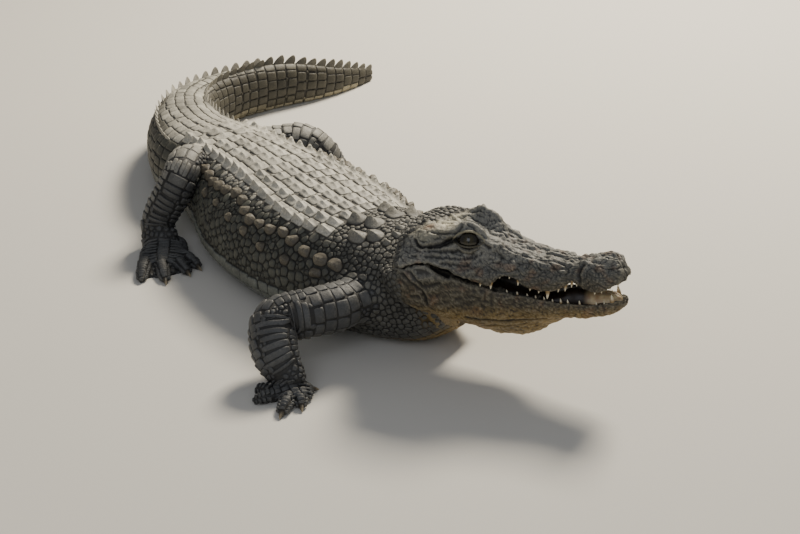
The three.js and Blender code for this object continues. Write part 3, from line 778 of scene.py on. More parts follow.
CREASES = [  # line, half width, depth, and how dark the crease is painted, as shade
    ([(17, 8, 36), (24, 13, 38), (31, 11, 37)], 2.4, 5.0, 0.95),  # nostrils
    ([(266, 54, 66), (284, 63, 60), (299, 68, 58)], 3.6, 6.0, 0.97),
    ([(262, 53, 67), (274, 58, 64)], 5.5, 5.0, 0.97),  # slit behind the eye
    ([(299, 68, 58), (312, 70, 57), (322, 68, 61), (328, 62, 66)], 2.4, 5.0, 0.9),
    ([(262, 50, 76), (280, 54, 78), (300, 55, 80)], 2.2, 2.5, 0.5),
    ([(226, 45, 71), (236, 38, 85), (250, 38, 85), (264, 48, 76)], 1.9, 2.2, 0.6),  # lid fold
    ([(221, 45, 63), (214, 46, 58), (207, 47, 55)], 2.2, 2.5, 0.8),
    ([(216, 46, 56), (196, 50, 46), (176, 46, 34)], 3.5, 1.5, 0.25),
    ([(226, 50, 54), (246, 58, 51), (276, 66, 52), (300, 70, 50)], 2.4, 2.2, 0.5),  # under the eye
    ([(228, 58, 42), (262, 67, 40), (296, 74, 42), (326, 78, 42)], 2.6, 2.0, 0.45),
    ([(240, 64, 30), (270, 72, 32), (300, 78, 38)], 2.6, 2.0, 0.4),
    ([(350, 78, 20), (334, 82, 29), (311, 78, 33), (290, 75, 25), (272, 70, 12)], 3.0, 5.0, 0.95),
    ([(346, 82, 8), (326, 85, -2), (302, 84, -5), (284, 78, 2)], 2.4, 2.6, 0.7),  # cheek bulge
    ([(68, 20, 28), (72, 30, 16), (70, 34, 4)], 3.2, 2.5, 0.5),  # behind the nose
    ([(96, 26, 34), (128, 30, 38), (160, 30, 42)], 3.0, 1.8, 0.4),
    ([(92, 10, 26), (130, 12, 32), (180, 14, 44)], 3.0, 1.6, 0.3),
    ([(126, 40, -66), (160, 46, -72), (200, 54, -72), (250, 60, -62)], 2.6, 3.0, 0.85),  # pouch
    ([(140, 36, -78), (180, 42, -86), (226, 46, -82)], 2.4, 1.6, 0.4),
    ([(360, 78, -8), (352, 80, -24), (338, 76, -42)], 2.6, 3.5, 0.7),  # behind the jaw
    ([(368, 74, 6), (364, 76, -16), (352, 72, -40)], 2.4, 3.0, 0.7),
]

# %% Shape the head
def surface_of(points):
    """The skin's faces on these points, ready to be searched for the nearest spot."""
    return BVHTree.FromPolygons([tuple(p) for p in points],
                                [tuple(face.vertices) for face in united.polygons])


place = in_head(skin_points)
surface = surface_of(place)


def laid_on_skin(line):
    """The same line with three more points on each stretch, all moved to the nearest skin."""
    line = np.array(line, float)
    steps = np.linspace(0, 1, 5)[:-1, None]
    dense = [a + (b - a) * steps for a, b in zip(line[:-1], line[1:])] + [line[-1:]]
    return [tuple(surface.find_nearest(p)[0]) for p in np.concatenate(dense)]


on_the_head = np.nonzero((place[:, 0] < 372) & (skin_points[:, 0] > 380))[0]
at = place[on_the_head]
fade = 1 - ramp(at[:, 0], 340, 372)
raised = np.zeros(len(at))
for centre, radii, height in SWELLS:
    raised += swell(at, centre, radii, height)
painted_shade = np.zeros(len(skin_points))  # painted shade: how black the creases and the eyes' openings are made
for line, width, depth, dark in CREASES:
    far = from_line(at, laid_on_skin(line)) / width
    raised += depth * (0.35 * np.exp(-((far - 1.9) ** 2)) - np.exp(-far * far))
    painted_shade[on_the_head] = np.maximum(painted_shade[on_the_head], dark * np.exp(-((far / 1.1) ** 2)))
upper = ramp(at[:, 2], 2, 24)
ear, eye = swell(at, (308, 62, 70), (18, 14, 8), 1), swell(at, (244, 44, 66), (30, 18, 18), 1)
cheek = ramp(at[:, 0], 268, 300) * (1 - ramp(at[:, 2], 60, 72))
rough = (0.6 + 0.4 * upper * (1 - cheek)) * (1 - np.maximum(ear, eye))
stretched = at * (0.6, 1, 1)  # the lumps are longer along the snout
raised += 2.2 * ripple(at, 30, 3) * ramp(at[:, 0], 20, 60) * fade
raised += (4.2 * ripple(stretched, 13, 5) + 2.0 * ripple(stretched, 6.5, 7)) * rough * fade
bent = stretched + 5 * np.stack([ripple(at, 18, seed) for seed in (21, 22, 23)], 1)
lines = 1.5 * furrows(bent, 19, 11) + 0.8 * furrows(bent * (1, 1, 1.6), 12, 13)
raised += (0.6 * (cracks(at, 7.5, 2) - 0.7) * (0.6 + rough) - lines * (0.3 + rough)) * fade
skin_points[on_the_head] += skin_normals()[on_the_head] * raised[:, None]
print("sculpted", len(on_the_head), "points of the head by", round(float(np.ptp(raised)), 1), "mm")

# %% [markdown]
# ## Open the eyelids
#
# The eye is a ball in its own piece. The skin round it is wrapped over the ball like a lid, and
# inside an almond-shaped opening it is pushed back behind the ball. The almond lies in a plane
# that faces out, up and a little forwards, as the eye looks.

# %% Wrap the lids round the eyes
EYE_LOOKS = unit(np.array([-0.30, 0.86, 0.42]))  # behind, outwards and up
EYE_BACK = unit(np.array([0.95, 0.28, 0.10]))  # from the front corner to the rear one
LID_FRONT, LID_REAR, LID_UPPER, LID_LOWER = 25, 26, 14.5, 10.5  # mm from the pupil
LID_THICK = 2.2
LID_FACES = 0.1  # cosine to the way that the eye looks, past which the skin is lid


def eye_frame(side):
    """The ball's middle and its looking, backward and upward directions, on the head."""
    flip = np.array([1, side, 1])
    looks = EYE_LOOKS * flip
    back = unit(EYE_BACK * flip - looks * ((EYE_BACK * flip) @ looks))
    up = np.cross(looks, back)
    return np.array(EYE_PLACE) * flip, looks, back, up * np.sign(up[2])


def lid_edge(x, upper):
    """Height of the opening's edge at x from the pupil towards the rear corner."""
    share = np.where(x > 0, x / LID_REAR, -x / LID_FRONT)
    return np.clip(1 - share ** 2, 0, None) ** 0.8 * (LID_UPPER if upper else -LID_LOWER)


lid_paths = {}
lid = EYE_RADIUS + LID_THICK
for side in (1, -1):
    centre, looks, back, up = eye_frame(side)
    place = in_head(skin_points)
    q = place - centre
    radius = length(q)[:, 0]
    close = np.nonzero((radius < 50) & (unit(q) @ looks > LID_FACES))[0]
    q, radius = q[close], radius[close]
    x, y = q @ back, q @ up
    opening = np.where(y > 0, y - lid_edge(x, True), lid_edge(x, False) - y)
    opening = np.where((x > LID_REAR) | (x < -LID_FRONT), np.maximum(opening, 0.5), opening)
    hold = (1 - ramp(opening, 2.5, 12.0)) * (1 - ramp(np.abs(x), 17, 26))
    wanted = radius + (lid - radius) * hold
    place[close] = centre + unit(q) * wanted[:, None]
    wrapped = surface_of(place)
    turn = turns(120)
    px = np.where(np.cos(turn) > 0, LID_REAR, LID_FRONT) * np.cos(turn) * 0.99
    py = np.where(np.sin(turn) >= 0, lid_edge(px, True), lid_edge(px, False))
    starts = centre + px[:, None] * back + py[:, None] * up + 60 * looks
    hits = [wrapped.ray_cast(Vector(p), Vector(-looks)) for p in starts]
    lid_paths[side] = (turn, np.array([hit[0] if hit[0] is not None else p - 40 * looks
                                       for hit, p in zip(hits, starts)]))
    cover = lid - 0.4  # nowhere else may the ball show
    wanted = np.maximum(wanted, np.where(opening > 0, cover, 0))
    inside = 1 - ramp(opening, -1.3, 0.2)
    # Painted shade: the skin inside the opening and at its edge is made black.
    painted_shade[close] = np.maximum(painted_shade[close], 1 - ramp(opening, -0.4, 1.4))
    wanted = wanted + inside * (np.minimum(wanted, EYE_RADIUS) - 6 - wanted)
    place[close] = centre + unit(q) * wanted[:, None]
    skin_points[close] = on_head(*place[close].T)
    q = in_head(skin_points) - centre
    radius = length(q)[:, 0]
    bulging = np.nonzero((radius < lid) & (unit(q) @ looks <= LID_FACES))[0]
    skin_points[bulging] = on_head(*(centre + unit(q[bulging]) * lid).T)
united.vertices.foreach_set("co", in_scene(skin_points).astype(np.float32).ravel())
print("lids of", LID_FRONT + LID_REAR, "mm by", LID_UPPER + LID_LOWER, "mm")

# %% [markdown]
# ## Colours
#
# Colours are written as sRGB hex values, and one function turns them to the linear light that
# Blender mixes. The markings are functions of the place on the body, used for the skin and for
# the scales on it, so the two always agree.

# %% Colours and markings
def linear(code):
    """An sRGB hex colour as linear red, green and blue."""
    srgb = np.array([int(code[k:k + 2], 16) for k in (1, 3, 5)]) / 255
    return np.where(srgb <= 0.04045, srgb / 12.92, ((srgb + 0.055) / 1.055) ** 2.4)


def mixed(a, b, share):
    share = np.asarray(share, float)[..., None]
    return a * (1 - share) + b * share


BACK = linear("#b2aea1")  # dried dust on the shield
FLANK = linear("#43443c")
BELLY_EDGE = linear("#6a6d66")
BELLY = linear("#a89f84")
TAIL_TOP = linear("#99968a")
# The tail's sides are painted darker than their own colour, as shade.
SHADED_TAIL_SIDE = linear("#3e3b2f")
NECK = linear("#53524c")
LEG = linear("#474848")
LEG_INNER = linear("#7a776b")
SNOUT_TOP = linear("#6c6c67")
SNOUT_SIDE = linear("#53534e")
SKULL_TABLE = linear("#8b8778")
# The jaw's olive brown below the lips is darkened as painted shade under the upper jaw.
SHADED_JAW_SIDE = linear("#464031")
THROAT = linear("#7a6538")
CREAM = linear("#cbc2a6")
RUST = linear("#7d5534")
TUBERCLE = linear("#6e5f4a")  # lone plates, worn to brown
GROOVE = linear("#1d1b17")
STREAK = linear("#2f2b23")
EAR_FLAP = linear("#6a695d")
# Near black for painted shade: in creases, in the eyes' openings and between the jaws.
SHADE_BLACK = linear("#0d0b09")


def body_tone(t, down):
    """Colour at row t of the spine, from the top of the section (0) to its underside (1)."""
    top = mixed(TAIL_TOP, BACK, ramp(t, 10, 13))
    # Painted shade: the top of the neck and its nuchal plates are darker, as in half shadow.
    top = mixed(top, NECK, ramp(t, 17.9, 18.25) * 0.8)
    side = mixed(SHADED_TAIL_SIDE, FLANK, ramp(t, 10, 14))
    side = mixed(side, NECK, ramp(t, 17.5, 19.5))
    start = np.interp(t, [0, 6, 9, 12], [0.04, 0.05, 0.17, 0.225])
    tone = mixed(top, side, ramp(down - start, 0.0, 0.055))
    trunk = ramp(t, 11, 12.5) * (1 - ramp(t, 17, 18))
    tone = mixed(tone, BELLY_EDGE, ramp(down, 0.535, 0.56) * 0.85 * trunk)
    tone = mixed(tone, mixed(BELLY, THROAT, ramp(t, 17, 20)), ramp(down, 0.74, 0.84))
    crossbar = ramp(np.sin(np.asarray(t) * 2.6), 0.35, 0.8) * (1 - ramp(t, 11, 13.5))
    return tone * (1 - 0.14 * crossbar * (1 - ramp(down, 0.7, 0.9)))[..., None]


def leg_tone(_, down):
    """Colour on a leg or paw, which depends only on the way round it."""
    return mixed(LEG, LEG_INNER, ramp(down, 0.72, 0.95))


def row_at(table, behind):
    """Row numbers of a table of the head at distances behind the snout tip."""
    return np.interp(behind, [row[0] for row in table], np.arange(len(table)))


def in_mouth(place):
    """1 on the faces of the two jaws that meet, which lie in shadow."""
    behind, side = place[:, 0], np.abs(place[:, 1])
    skull_row = read(SKULL, row_at(SKULL, behind))
    under = (place[:, 2] < skull_row[:, 7] + 7) & (side < skull_row[:, 6] - 4)
    shut_behind, shut_height = turned_jaw(behind, place[:, 2], -GAPE)
    jaw_row = read(JAW, row_at(JAW, shut_behind))
    over = (shut_height > jaw_row[:, 2] - 6) & (side < jaw_row[:, 1] - 4)
    return (under & over & (behind < 330)).astype(float)


def head_tone(place):
    """Colour on the head, from behind the snout tip, out from the middle and over the datum."""
    behind, side, height = place[:, 0], np.abs(place[:, 1]), place[:, 2]
    rusty = ramp(ripple(place, 17), 0.15, 0.55) * (1 - ramp(height, 34, 60))
    streak = ripple(place * (1 / 5, 0, 1 / 30) + (0, 3, 0), 1)  # upright, below the lips
    below_lip = ramp(-height, 2, 12) * (1 - ramp(-height, 34, 52)) * (1 - ramp(behind, 230, 290))
    tone = SNOUT_SIDE
    for colour, share in (
            (SNOUT_TOP, ramp(height, 18, 40)),
            (SKULL_TABLE, ramp(behind, 250, 300) * ramp(height, 60, 74)),
            # painted shade, darker from the lips downwards
            (SHADED_JAW_SIDE, ramp(-height, -22, 10)),
            (THROAT, ramp(-height, 34, 62)),
            (RUST, rusty * 0.3),
            (STREAK, ramp(streak, 0.0, 0.4) * below_lip * 0.75),
            (CREAM, swell(place, (290, 22, 78), (16, 18, 12), 0.85)),  # patch behind the eye
            (RUST, swell(place, (308, 40, 77), (9, 8, 10), 0.85)),
            (EAR_FLAP, swell(place, (308, 62, 70), (14, 14, 8), 0.8)),
            # painted shade in creases, in the eyes' openings and between the jaws
            (SHADE_BLACK, np.maximum(painted_shade, in_mouth(place) * ramp(behind, 40, 80))),
            (NECK, ramp(behind, 345, 372))):
        tone = mixed(tone, colour, share)
    return tone


# %% [markdown]
# ## Paint the skin
#
# Each point of the skin takes its colour from the nearest place on the tubes it came from. On the
# body the skin only shows between scales, where it is made nearly black. How hollow each point lies
# is kept too, so that the material can darken creases with dirt and painted shade.

# %% Store colour and hollowness on the skin
def give_tone(mesh, colours):
    layer = mesh.attributes.new("tone", "FLOAT_COLOR", "POINT")
    with_alpha = np.c_[colours, np.ones(len(colours))].astype(np.float32)
    layer.data.foreach_set("color", with_alpha.ravel())


def give_rise(mesh, values):
    layer = mesh.attributes.new("rise", "FLOAT", "POINT")
    layer.data.foreach_set("value", np.asarray(values, np.float32))


def down_of(sheet):
    """How far round from the top each place is: 0 at the top and 1 underneath."""
    j = np.arange(sheet.places)
    down = np.minimum(j, sheet.places - j) / (sheet.places / 2)
    return np.broadcast_to(down, (sheet.rings, sheet.places))


def tree_of(points):
    """The points, ready to be searched for the nearest ones."""
    tree = KDTree(len(points))
    for n, p in enumerate(points):
        tree.insert(p, n)
    tree.balance()
    return tree


def nearest_in(tree, points):
    return np.array([tree.find(p)[1] for p in points])


paw_parts = [sheet for palm, digits, _ in paws.values() for sheet in [palm, *digits]]
limbs = [*legs.values(), *paw_parts]
flesh_sheets = [coarse_body, *limbs]
flesh_tree = tree_of(np.concatenate([sheet.points.reshape(-1, 3) for sheet in flesh_sheets]))
flesh_tones = np.concatenate(
    [body_tone(coarse_t[:, None], down_of(coarse_body)).reshape(-1, 3)]
    + [leg_tone(0, down_of(sheet)).reshape(-1, 3) for sheet in limbs])
place = in_head(skin_points)
bare = (1 - ramp(place[:, 0], 352, 380)) * ramp(skin_points[:, 0], 380, 395)
under_scales = flesh_tones[nearest_in(flesh_tree, skin_points)] * 0.3 + GROOVE * 0.5
skin_tone = mixed(under_scales, head_tone(place), bare)
# How hollow each point of the head lies, and one value elsewhere; the material darkens hollows with
# dirt and painted shade.
spread = neighbours_mean(skin_points, skin_edges) - skin_points
bend = (spread * skin_normals()).sum(1)
bend = 0.6 * bend + 0.4 * neighbours_mean(bend[:, None], skin_edges)[:, 0]
rise = np.clip(0.55 - bend * 2.4, 0.14, 1) * bare + 0.35 * (1 - bare)
give_tone(united, skin_tone)
give_rise(united, rise)
print("painted", len(skin_points), "points of skin")

# %% [markdown]
# ## Materials from small nodes
#
# A material is a tree of nodes. One function adds a node, sets it and links it, and gives back
# one of its outputs, so that each material reads as a short list. Pattern sizes are given in
# millimetres and turned into the scale of a noise node, which is how many lumps fit in a metre.

# %% The node helper
MIX = dict(output=2, data_type="RGBA")  # inputs: 0 is the share, 6 and 7 the two colours
MULTIPLY = dict(MIX, blend_type="MULTIPLY")


def add_node(tree, kind, inputs=(), output=0, **settings):
    """Adds a node and gives back an output. inputs are values or other nodes' outputs, either in
    a row or by a socket's name or number."""
    made = tree.nodes.new("ShaderNode" + kind)
    for key, value in settings.items():
        setattr(made, key, value)
    for key, value in inputs.items() if isinstance(inputs, dict) else enumerate(inputs):
        if isinstance(value, bpy.types.NodeSocket):
            tree.links.new(value, made.inputs[key])
        else:
            made.inputs[key].default_value = value
    return made.outputs[output] if made.outputs else None


def lumps(where, size_mm, detail=4, roughness=0.55):
    """What a noise node needs for lumps of a size in millimetres on coordinates in metres."""
    return {"Vector": where, "Scale": 1000 / size_mm, "Detail": detail, "Roughness": roughness}


def rgba(code):
    return (*linear(code), 1)


def new_material(name):
    """A material, its tree, and two outputs in it: Object coordinates and the painted tone."""
    made = bpy.data.materials.new(name)
    made.use_nodes = True
    tree = made.node_tree
    tree.nodes.clear()
    return (made, tree, add_node(tree, "TexCoord", output="Object"),
            add_node(tree, "Attribute", attribute_name="tone"))


def give_surface(tree, inputs):
    """Ends a tree with the Principled shader, whose inputs are given, and the output."""
    add_node(tree, "OutputMaterial", {"Surface": add_node(tree, "BsdfPrincipled", inputs)})


# %% [markdown]
# ## Keratin: hide and scales
#
# A crocodile is covered with keratin, the stuff of fingernails. On scales it is thick, hard and
# a little glossy where it is clean, and matt where dust has dried on it. Between them it is thin
# and soft, and dirt stays in it. Keratin bends light like many plastics, with an IOR near 1.54.

# %% Hide and scale materials
KERATIN_IOR = 1.54
HOLLOW_DIRT_AND_SHADE, DUST, MUD = "#14120f", "#b9b29b", "#2a251c"


def keratin(name, wear, smoothest, roughest):
    """Colour from the painted tone, darker in hollows from dirt and painted shade, paler and dusty
    on what stands up.
    """
    made, tree, where, tone = new_material(name)
    rise = add_node(tree, "Attribute", output="Fac", attribute_name="rise")
    blotch = add_node(tree, "TexNoise", lumps(where, 38, 5, 0.6))
    grain = add_node(tree, "TexNoise", lumps(where, 3.2, 4, 0.65))
    speck = add_node(tree, "TexNoise", lumps(where, 1.3, 3, 0.7))
    patchy, grainy, hollow, raised, rubbed, muddy, matt = (
        add_node(tree, "MapRange", numbers) for numbers in (
            (blotch, 0.3, 0.7, 0.66, 1.24), (grain, 0.3, 0.7, 0.68, 1.3),
            (rise, 0.12, 0.5, 0.85, 0), (rise, 0.62, 1, 0, wear), (grain, 0.38, 0.6, 0, 1),
            (speck, 0.58, 0.72, 0, 0.55), (grain, 0.3, 0.7, smoothest, roughest)))
    worn = add_node(tree, "Math", (raised, rubbed), operation="MULTIPLY")
    colour = tone
    for share, paint, blend in ((1, patchy, MULTIPLY), (1, grainy, MULTIPLY),
                                # hollows get dirt and painted shade
                                (hollow, rgba(HOLLOW_DIRT_AND_SHADE), MIX), (worn, rgba(DUST), MIX),
                                (muddy, rgba(MUD), MIX)):
        colour = add_node(tree, "Mix", {0: share, 6: colour, 7: paint}, **blend)
    fine = add_node(tree, "Bump", {"Height": speck, "Strength": 0.35, "Distance": 0.0006})
    coarse = add_node(tree, "Bump", {"Height": grain, "Strength": 0.5, "Distance": 0.0012,
                                     "Normal": fine})
    give_surface(tree, {"Base Color": colour, "Roughness": matt, "IOR": KERATIN_IOR,
                        "Normal": coarse})
    return made


hide = keratin("thin_keratin_hide", 0.25, 0.5, 0.8)
horn_scale = keratin("dusty_keratin_scale", 0.32, 0.45, 0.78)
united.materials.clear()
united.materials.append(hide)
united.polygons.foreach_set("use_smooth", np.ones(len(united.polygons), bool))
united.polygons.foreach_set("material_index", np.zeros(len(united.polygons), np.int32))
skin = put_in_scene("skin", united)
FLESH = [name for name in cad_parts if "claw" not in name and "eye" not in name]
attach(skin, "root")
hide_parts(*FLESH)
print("the skin stands for", len(FLESH), "solids")

# %% [markdown]
# ## Scales as a mosaic
#
# On a real crocodile no two scales are alike, and they meet in grooves of even width, like
# stones in a mosaic. Copies of one scale would overlap or leave gaps. So only the middle of each
# scale is placed, with its half length and half width. Each outline is then found from the
# neighbours: partway to each one there is a groove, and the scale fills what room is left. This
# is a Voronoi diagram with rounded corners. Geometry Nodes could scatter the middles, but they
# couldn't cut each scale to its neighbours, so arrays do it.

# %% Find the skin under any place
ground = surface_of(skin_points)


def on_skin(points):
    """The nearest points on the skin, and the normals there."""
    flat = points.reshape(-1, 3)
    found = [ground.find_nearest(p) for p in flat]
    spots = np.array([hit[0] for hit in found]).reshape(points.shape)
    return spots, np.array([hit[1] for hit in found]).reshape(points.shape)


# %% An unwrap of the skin, for the export
# Every tube is unrolled to a rectangle, and the rectangles are packed in rows on one square.
UNWRAP = 1900  # mm across the whole square
ISLAND_GAP = 12  # mm
islands = [(body, BODY_STEP), (jaw, JAW_STEP), (skull, SKULL_STEP)]
islands += [(sheet, LEG_STEP) for sheet in legs.values()]
islands += [(sheet, PAW_STEP) for sheet in paw_parts]
shelf_x = shelf_y = shelf_high = 0.0
island_rows = []
for sheet, step in islands:
    wide, high = sheet.rings * step + ISLAND_GAP, float(sheet.girth.max()) + ISLAND_GAP
    if shelf_x + wide > UNWRAP:
        shelf_x, shelf_y, shelf_high = 0.0, shelf_y + shelf_high, 0.0
    i, j = np.meshgrid(np.arange(sheet.rings), np.arange(sheet.places), indexing="ij")
    around = j / sheet.places * sheet.girth[:, None]
    uv = np.stack([shelf_x + i * step, shelf_y + around], -1)
    island_rows.append(np.concatenate([sheet.points, unit(sheet.ahead), unit(sheet.across), uv],
                                      -1).reshape(-1, 11))
    shelf_x, shelf_high = shelf_x + wide, max(shelf_high, high)
sample_spots, sample_ahead, sample_across, sample_uv = np.split(
    np.concatenate(island_rows), (3, 6, 9), 1)
unrolled = tree_of(sample_spots)
print("unwrapped onto", len(islands), "islands,", round((shelf_y + shelf_high) / UNWRAP, 2), "high")


def put_uv(mesh, uv):
    corners = values_of(mesh.loops, "vertex_index", 1, np.int32)[:, 0]
    layer = mesh.uv_layers.new(name="OFBake")
    layer.data.foreach_set("uv", uv[corners].astype(np.float32).ravel())


# %% [markdown]
# ## The kinds of scale
#
# Each kind has its own cross-section: where rings of points lie between the outline (1) and the
# middle (0), and how high each ring stands. Corner says how square an outline is (2 is an
# ellipse), groove is in mm, tilt lifts the rear edge, room is how far a scale may outgrow its
# size where it has no neighbour, and ridge is the half width of the keel.

# %% Kinds of scale
LARGE = dict(sides=24, rings=(1, 0.965, 0.86, 0.64, 0.42, 0.2))
SMALL = dict(ridge=0.6, sides=16, rings=(1, 0.95, 0.8, 0.42))
TINY = dict(ridge=0.6, sides=9, rings=(1, 0.86, 0.5))
KINDS = {
    "shield": dict(LARGE, rises=(-0.4, 0.6, 0.85, 0.95, 1, 1), corner=9, groove=0.45, tilt=0.65,
                   room=1.3, ridge=0.33),
    "oval": dict(LARGE, rises=(-0.5, 0.4, 0.75, 0.95, 1.1, 1.2), corner=2.4, groove=0.8, tilt=0.5,
                 room=1.08, ridge=0.6),
    "flank": dict(SMALL, rises=(-0.5, 0.5, 0.92, 1.05), corner=2.3, groove=0.6, tilt=0.15,
                  room=1.25),
    "square": dict(SMALL, rises=(-0.4, 0.65, 0.92, 1.0), corner=6, groove=0.4, tilt=0.35, room=1.3),
    "bead": dict(SMALL, rises=(-0.5, 0.55, 1.0, 0.92), corner=2.1, groove=0.55, tilt=0, room=1.2),
    "band": dict(SMALL, rises=(-0.4, 0.7, 0.95, 1.0), corner=7, groove=0.25, tilt=0.8, room=1.4),
    "granule": dict(TINY, rises=(-0.5, 0.6, 1.0), corner=2.0, groove=0.45, tilt=0, room=1.5),
}
KIND_NAMES = list(KINDS)
chance = np.random.default_rng(11)
laid = []  # groups of scales: a dictionary of arrays each


def along(way, direction):
    """How far ways run in a direction."""
    return (way * direction).sum(-1)


def reach(long, wide, x, y, corner=2.0):
    """How far a scale reaches towards x, y, from its half length and half width."""
    far = np.maximum(np.hypot(x, y), 1e-6)
    return 1 / power(power(np.abs(x / far) / long, corner) + power(np.abs(y / far) / wide, corner),
                     1 / corner)


def everything_laid():
    """All that is laid so far, as arrays of each value."""
    whole = {key: np.concatenate([group[key] for group in laid]) for key in laid[0]}
    whole["across"] = np.cross(whole["normal"], whole["ahead"])
    return whole, [whole[key] for key in ("spot", "ahead", "across", "long", "wide")]


def reach_along(way, n, whole, corner=2.0):
    """How far the scales n of a whole set reach along ways."""
    spot, ahead, across, long, wide = whole
    return reach(long[n], wide[n], along(way, ahead[n]), along(way, across[n]), corner)


def crowded(spots, ahead, across, long, wide, share):
    """Which spots lie too close to a scale that is already laid."""
    found = np.zeros(len(spots), bool)
    if not laid:
        return found
    _, whole = everything_laid()
    others = tree_of(whole[0])
    widest = max(whole[3].max(), whole[4].max())
    for k in range(len(spots)):
        close = others.find_range(spots[k], share * (max(long[k], wide[k]) + widest))
        if close:
            n = [hit[1] for hit in close]
            way = whole[0][n] - spots[k]
            ours = reach(long[k], wide[k], way @ ahead[k], way @ across[k])
            theirs = reach_along(way, n, whole)
            found[k] = (length(way)[:, 0] < share * (ours + theirs)).any()
    return found


def lay(kind, piece, sheet, step, i, j, long, wide, high, keel=0.0, tone=None, share=0.62,
        lost=11.0, jitter=0.06):
    """Lays scales at rings i and places j of a sheet. Sizes are half lengths in mm."""
    i, j = np.broadcast_arrays(np.asarray(i, float).ravel(), np.asarray(j, float).ravel())
    point, normal, ahead, across = sheet.at(i, j)
    stretch = length(ahead)[:, 0] / step
    long, wide, high, keel = (np.broadcast_to(np.asarray(v, float), i.shape)
                              for v in (long, wide, high, keel))
    long = long * stretch
    drift = chance.normal(0, jitter, (2, len(i)))
    point = (point + unit(ahead) * (drift[0] * long)[:, None]
             + unit(across) * (drift[1] * wide)[:, None])
    spot, under = on_skin(point)
    fits = (length(spot - point)[:, 0] < lost) & (along(normal, under) > 0.35)
    normal = unit(under + normal)
    ahead = unit(ahead - normal * along(ahead, normal)[:, None])
    fits &= ~crowded(spot, ahead, np.cross(normal, ahead), long, wide, share)
    down = np.abs((j / sheet.places + 0.5) % 1 - 0.5) * 2
    laid.append({key: value[fits] for key, value in {
        "spot": spot, "normal": normal, "ahead": ahead, "long": long, "wide": wide,
        "high": high * chance.uniform(0.85, 1.15, len(i)), "keel": keel,
        "tone": tone(i, down) * chance.normal(1, 0.09, (len(i), 1)),
        "kind": np.full(len(i), KIND_NAMES.index(kind)), "piece": np.full(len(i), piece)}.items()})
    return int(fits.sum())


# %% [markdown]
# ## Lay the back
#
# The shield is eight plates wide over the ribs, six over the loins and four at the hips, with
# one row of plates to each vertebra, 33 mm apart. Its outermost keels are the tallest. In front
# of it eight nuchal plates stand on the neck in a tight group, and six small ones behind the
# skull. On each flank run two broken rows of lone keeled plates.

# %% Shield, nuchal and flank plates
SHIELD_ROW = 33  # mm
EDGE_T = [12.3, 13.4, 14.7, 16.1, 16.8, 17.3, 18.0]
EDGE_ARC = [60, 71, 78, 99, 100, 96, 86]  # mm from the middle of the back to the outermost keel


def ring_of(t):
    return np.interp(t, body_t, np.arange(body.rings))


def row_of(ring):
    return at_ring(ring, body_t)


def shield_edge(t):
    return np.interp(t, EDGE_T, EDGE_ARC)


def spine_tone(i, down):
    return body_tone(row_of(i), down)


def tubercle_tone(i, down):
    return mixed(spine_tone(i, down), TUBERCLE, 0.35)


def plates(t, arc, long, wide, high, keel, kind="oval", piece="back_scutes",
           tone=spine_tone, **more):
    """Lays plates on both sides of the body at rows t and arcs in mm from the top."""
    t, arc = np.broadcast_arrays(np.asarray(t, float), np.asarray(arc, float))
    t, arc = np.concatenate([t.ravel(), t.ravel()]), np.concatenate([arc.ravel(), -arc.ravel()])
    sizes = [np.tile(np.broadcast_to(v, len(t) // 2), 2) for v in (long, wide, high, keel)]
    place = arc / np.interp(t, body_t, body.girth) * body.places
    return lay(kind, piece, body, BODY_STEP, ring_of(t), place, *sizes, tone=tone, **more)


count = plates([18.32, 18.82, 18.82, 19.16], [33, 25, 68, 54], [20, 18, 17, 16], [19, 19, 16, 15],
               [5, 5, 4.5, 4.5], [8, 8, 9, 7], jitter=0.02)
count += plates([19.56, 19.66, 19.60], [13, 36, 58], [11, 10, 9], [9, 9, 8], 3, [3, 4, 4],
                jitter=0.02)
print(count, "plates on the neck")
for ring in np.arange(ring_of(12.6), ring_of(17.95), SHIELD_ROW / BODY_STEP):
    t = row_of(ring)
    columns = 4 if t > 15.0 else 3 if t > 13.3 else 2
    odd = np.arange(1, 2 * columns, 2)
    half = shield_edge(t) / odd[-1]
    outer = odd == odd[-1]
    count += plates(np.full(columns, t), shield_edge(t) * odd / odd[-1], SHIELD_ROW / 2,
                    np.where(outer, half * 1.1, half), 3.2,
                    np.where(outer, 10.5, 3.8 + 2.4 * (odd > 3)), kind="shield", jitter=0.03)
print(count, "plates with the shield")
LONE_ROW = 31  # mm
lone = ring_of(15.3) + np.arange(-9, 11) * LONE_ROW / BODY_STEP
t = row_of(lone)
count += plates(t, shield_edge(t) + 44 + 8 * np.sin(lone), 13, 12, 5.5, 3.5,
                piece="flank_scales", tone=tubercle_tone, jitter=0.1)
count += plates(t[::2], shield_edge(t)[::2] + 76, 10, 9.5, 4.6, 2,
                piece="flank_scales", tone=tubercle_tone, jitter=0.12)
print(count, "plates with the lone ones")

# %% [markdown]
# ## Lay the sides, the belly and the tail
#
# A row of square scutes marks where the flank meets the belly. The belly is paved with flat
# squares, and the flank with ovals of uneven size. The tail is built of whorls, rings of
# rectangles 27 mm long. The sides of the neck carry beads of many sizes, the throat squares.
# One function walks along the body, and a small rule for each region gives the arcs, half
# lengths, half widths and heights of one ring of scales.

# %% Belly, tail, flank and neck
WHORL, WHORL_SCALE, BELLY_SQUARE = 27, 21, 25  # mm
BELLY_STARTS = 0.565  # share of half the girth, down from the top


def body_rings(start, end, spacing):
    """Number, row of the spine and half girth of rings at even distances between two rows."""
    for n, ring in enumerate(np.arange(ring_of(start), ring_of(end), spacing / BODY_STEP)):
        yield n, row_of(ring), float(at_ring(ring, body.girth)) / 2


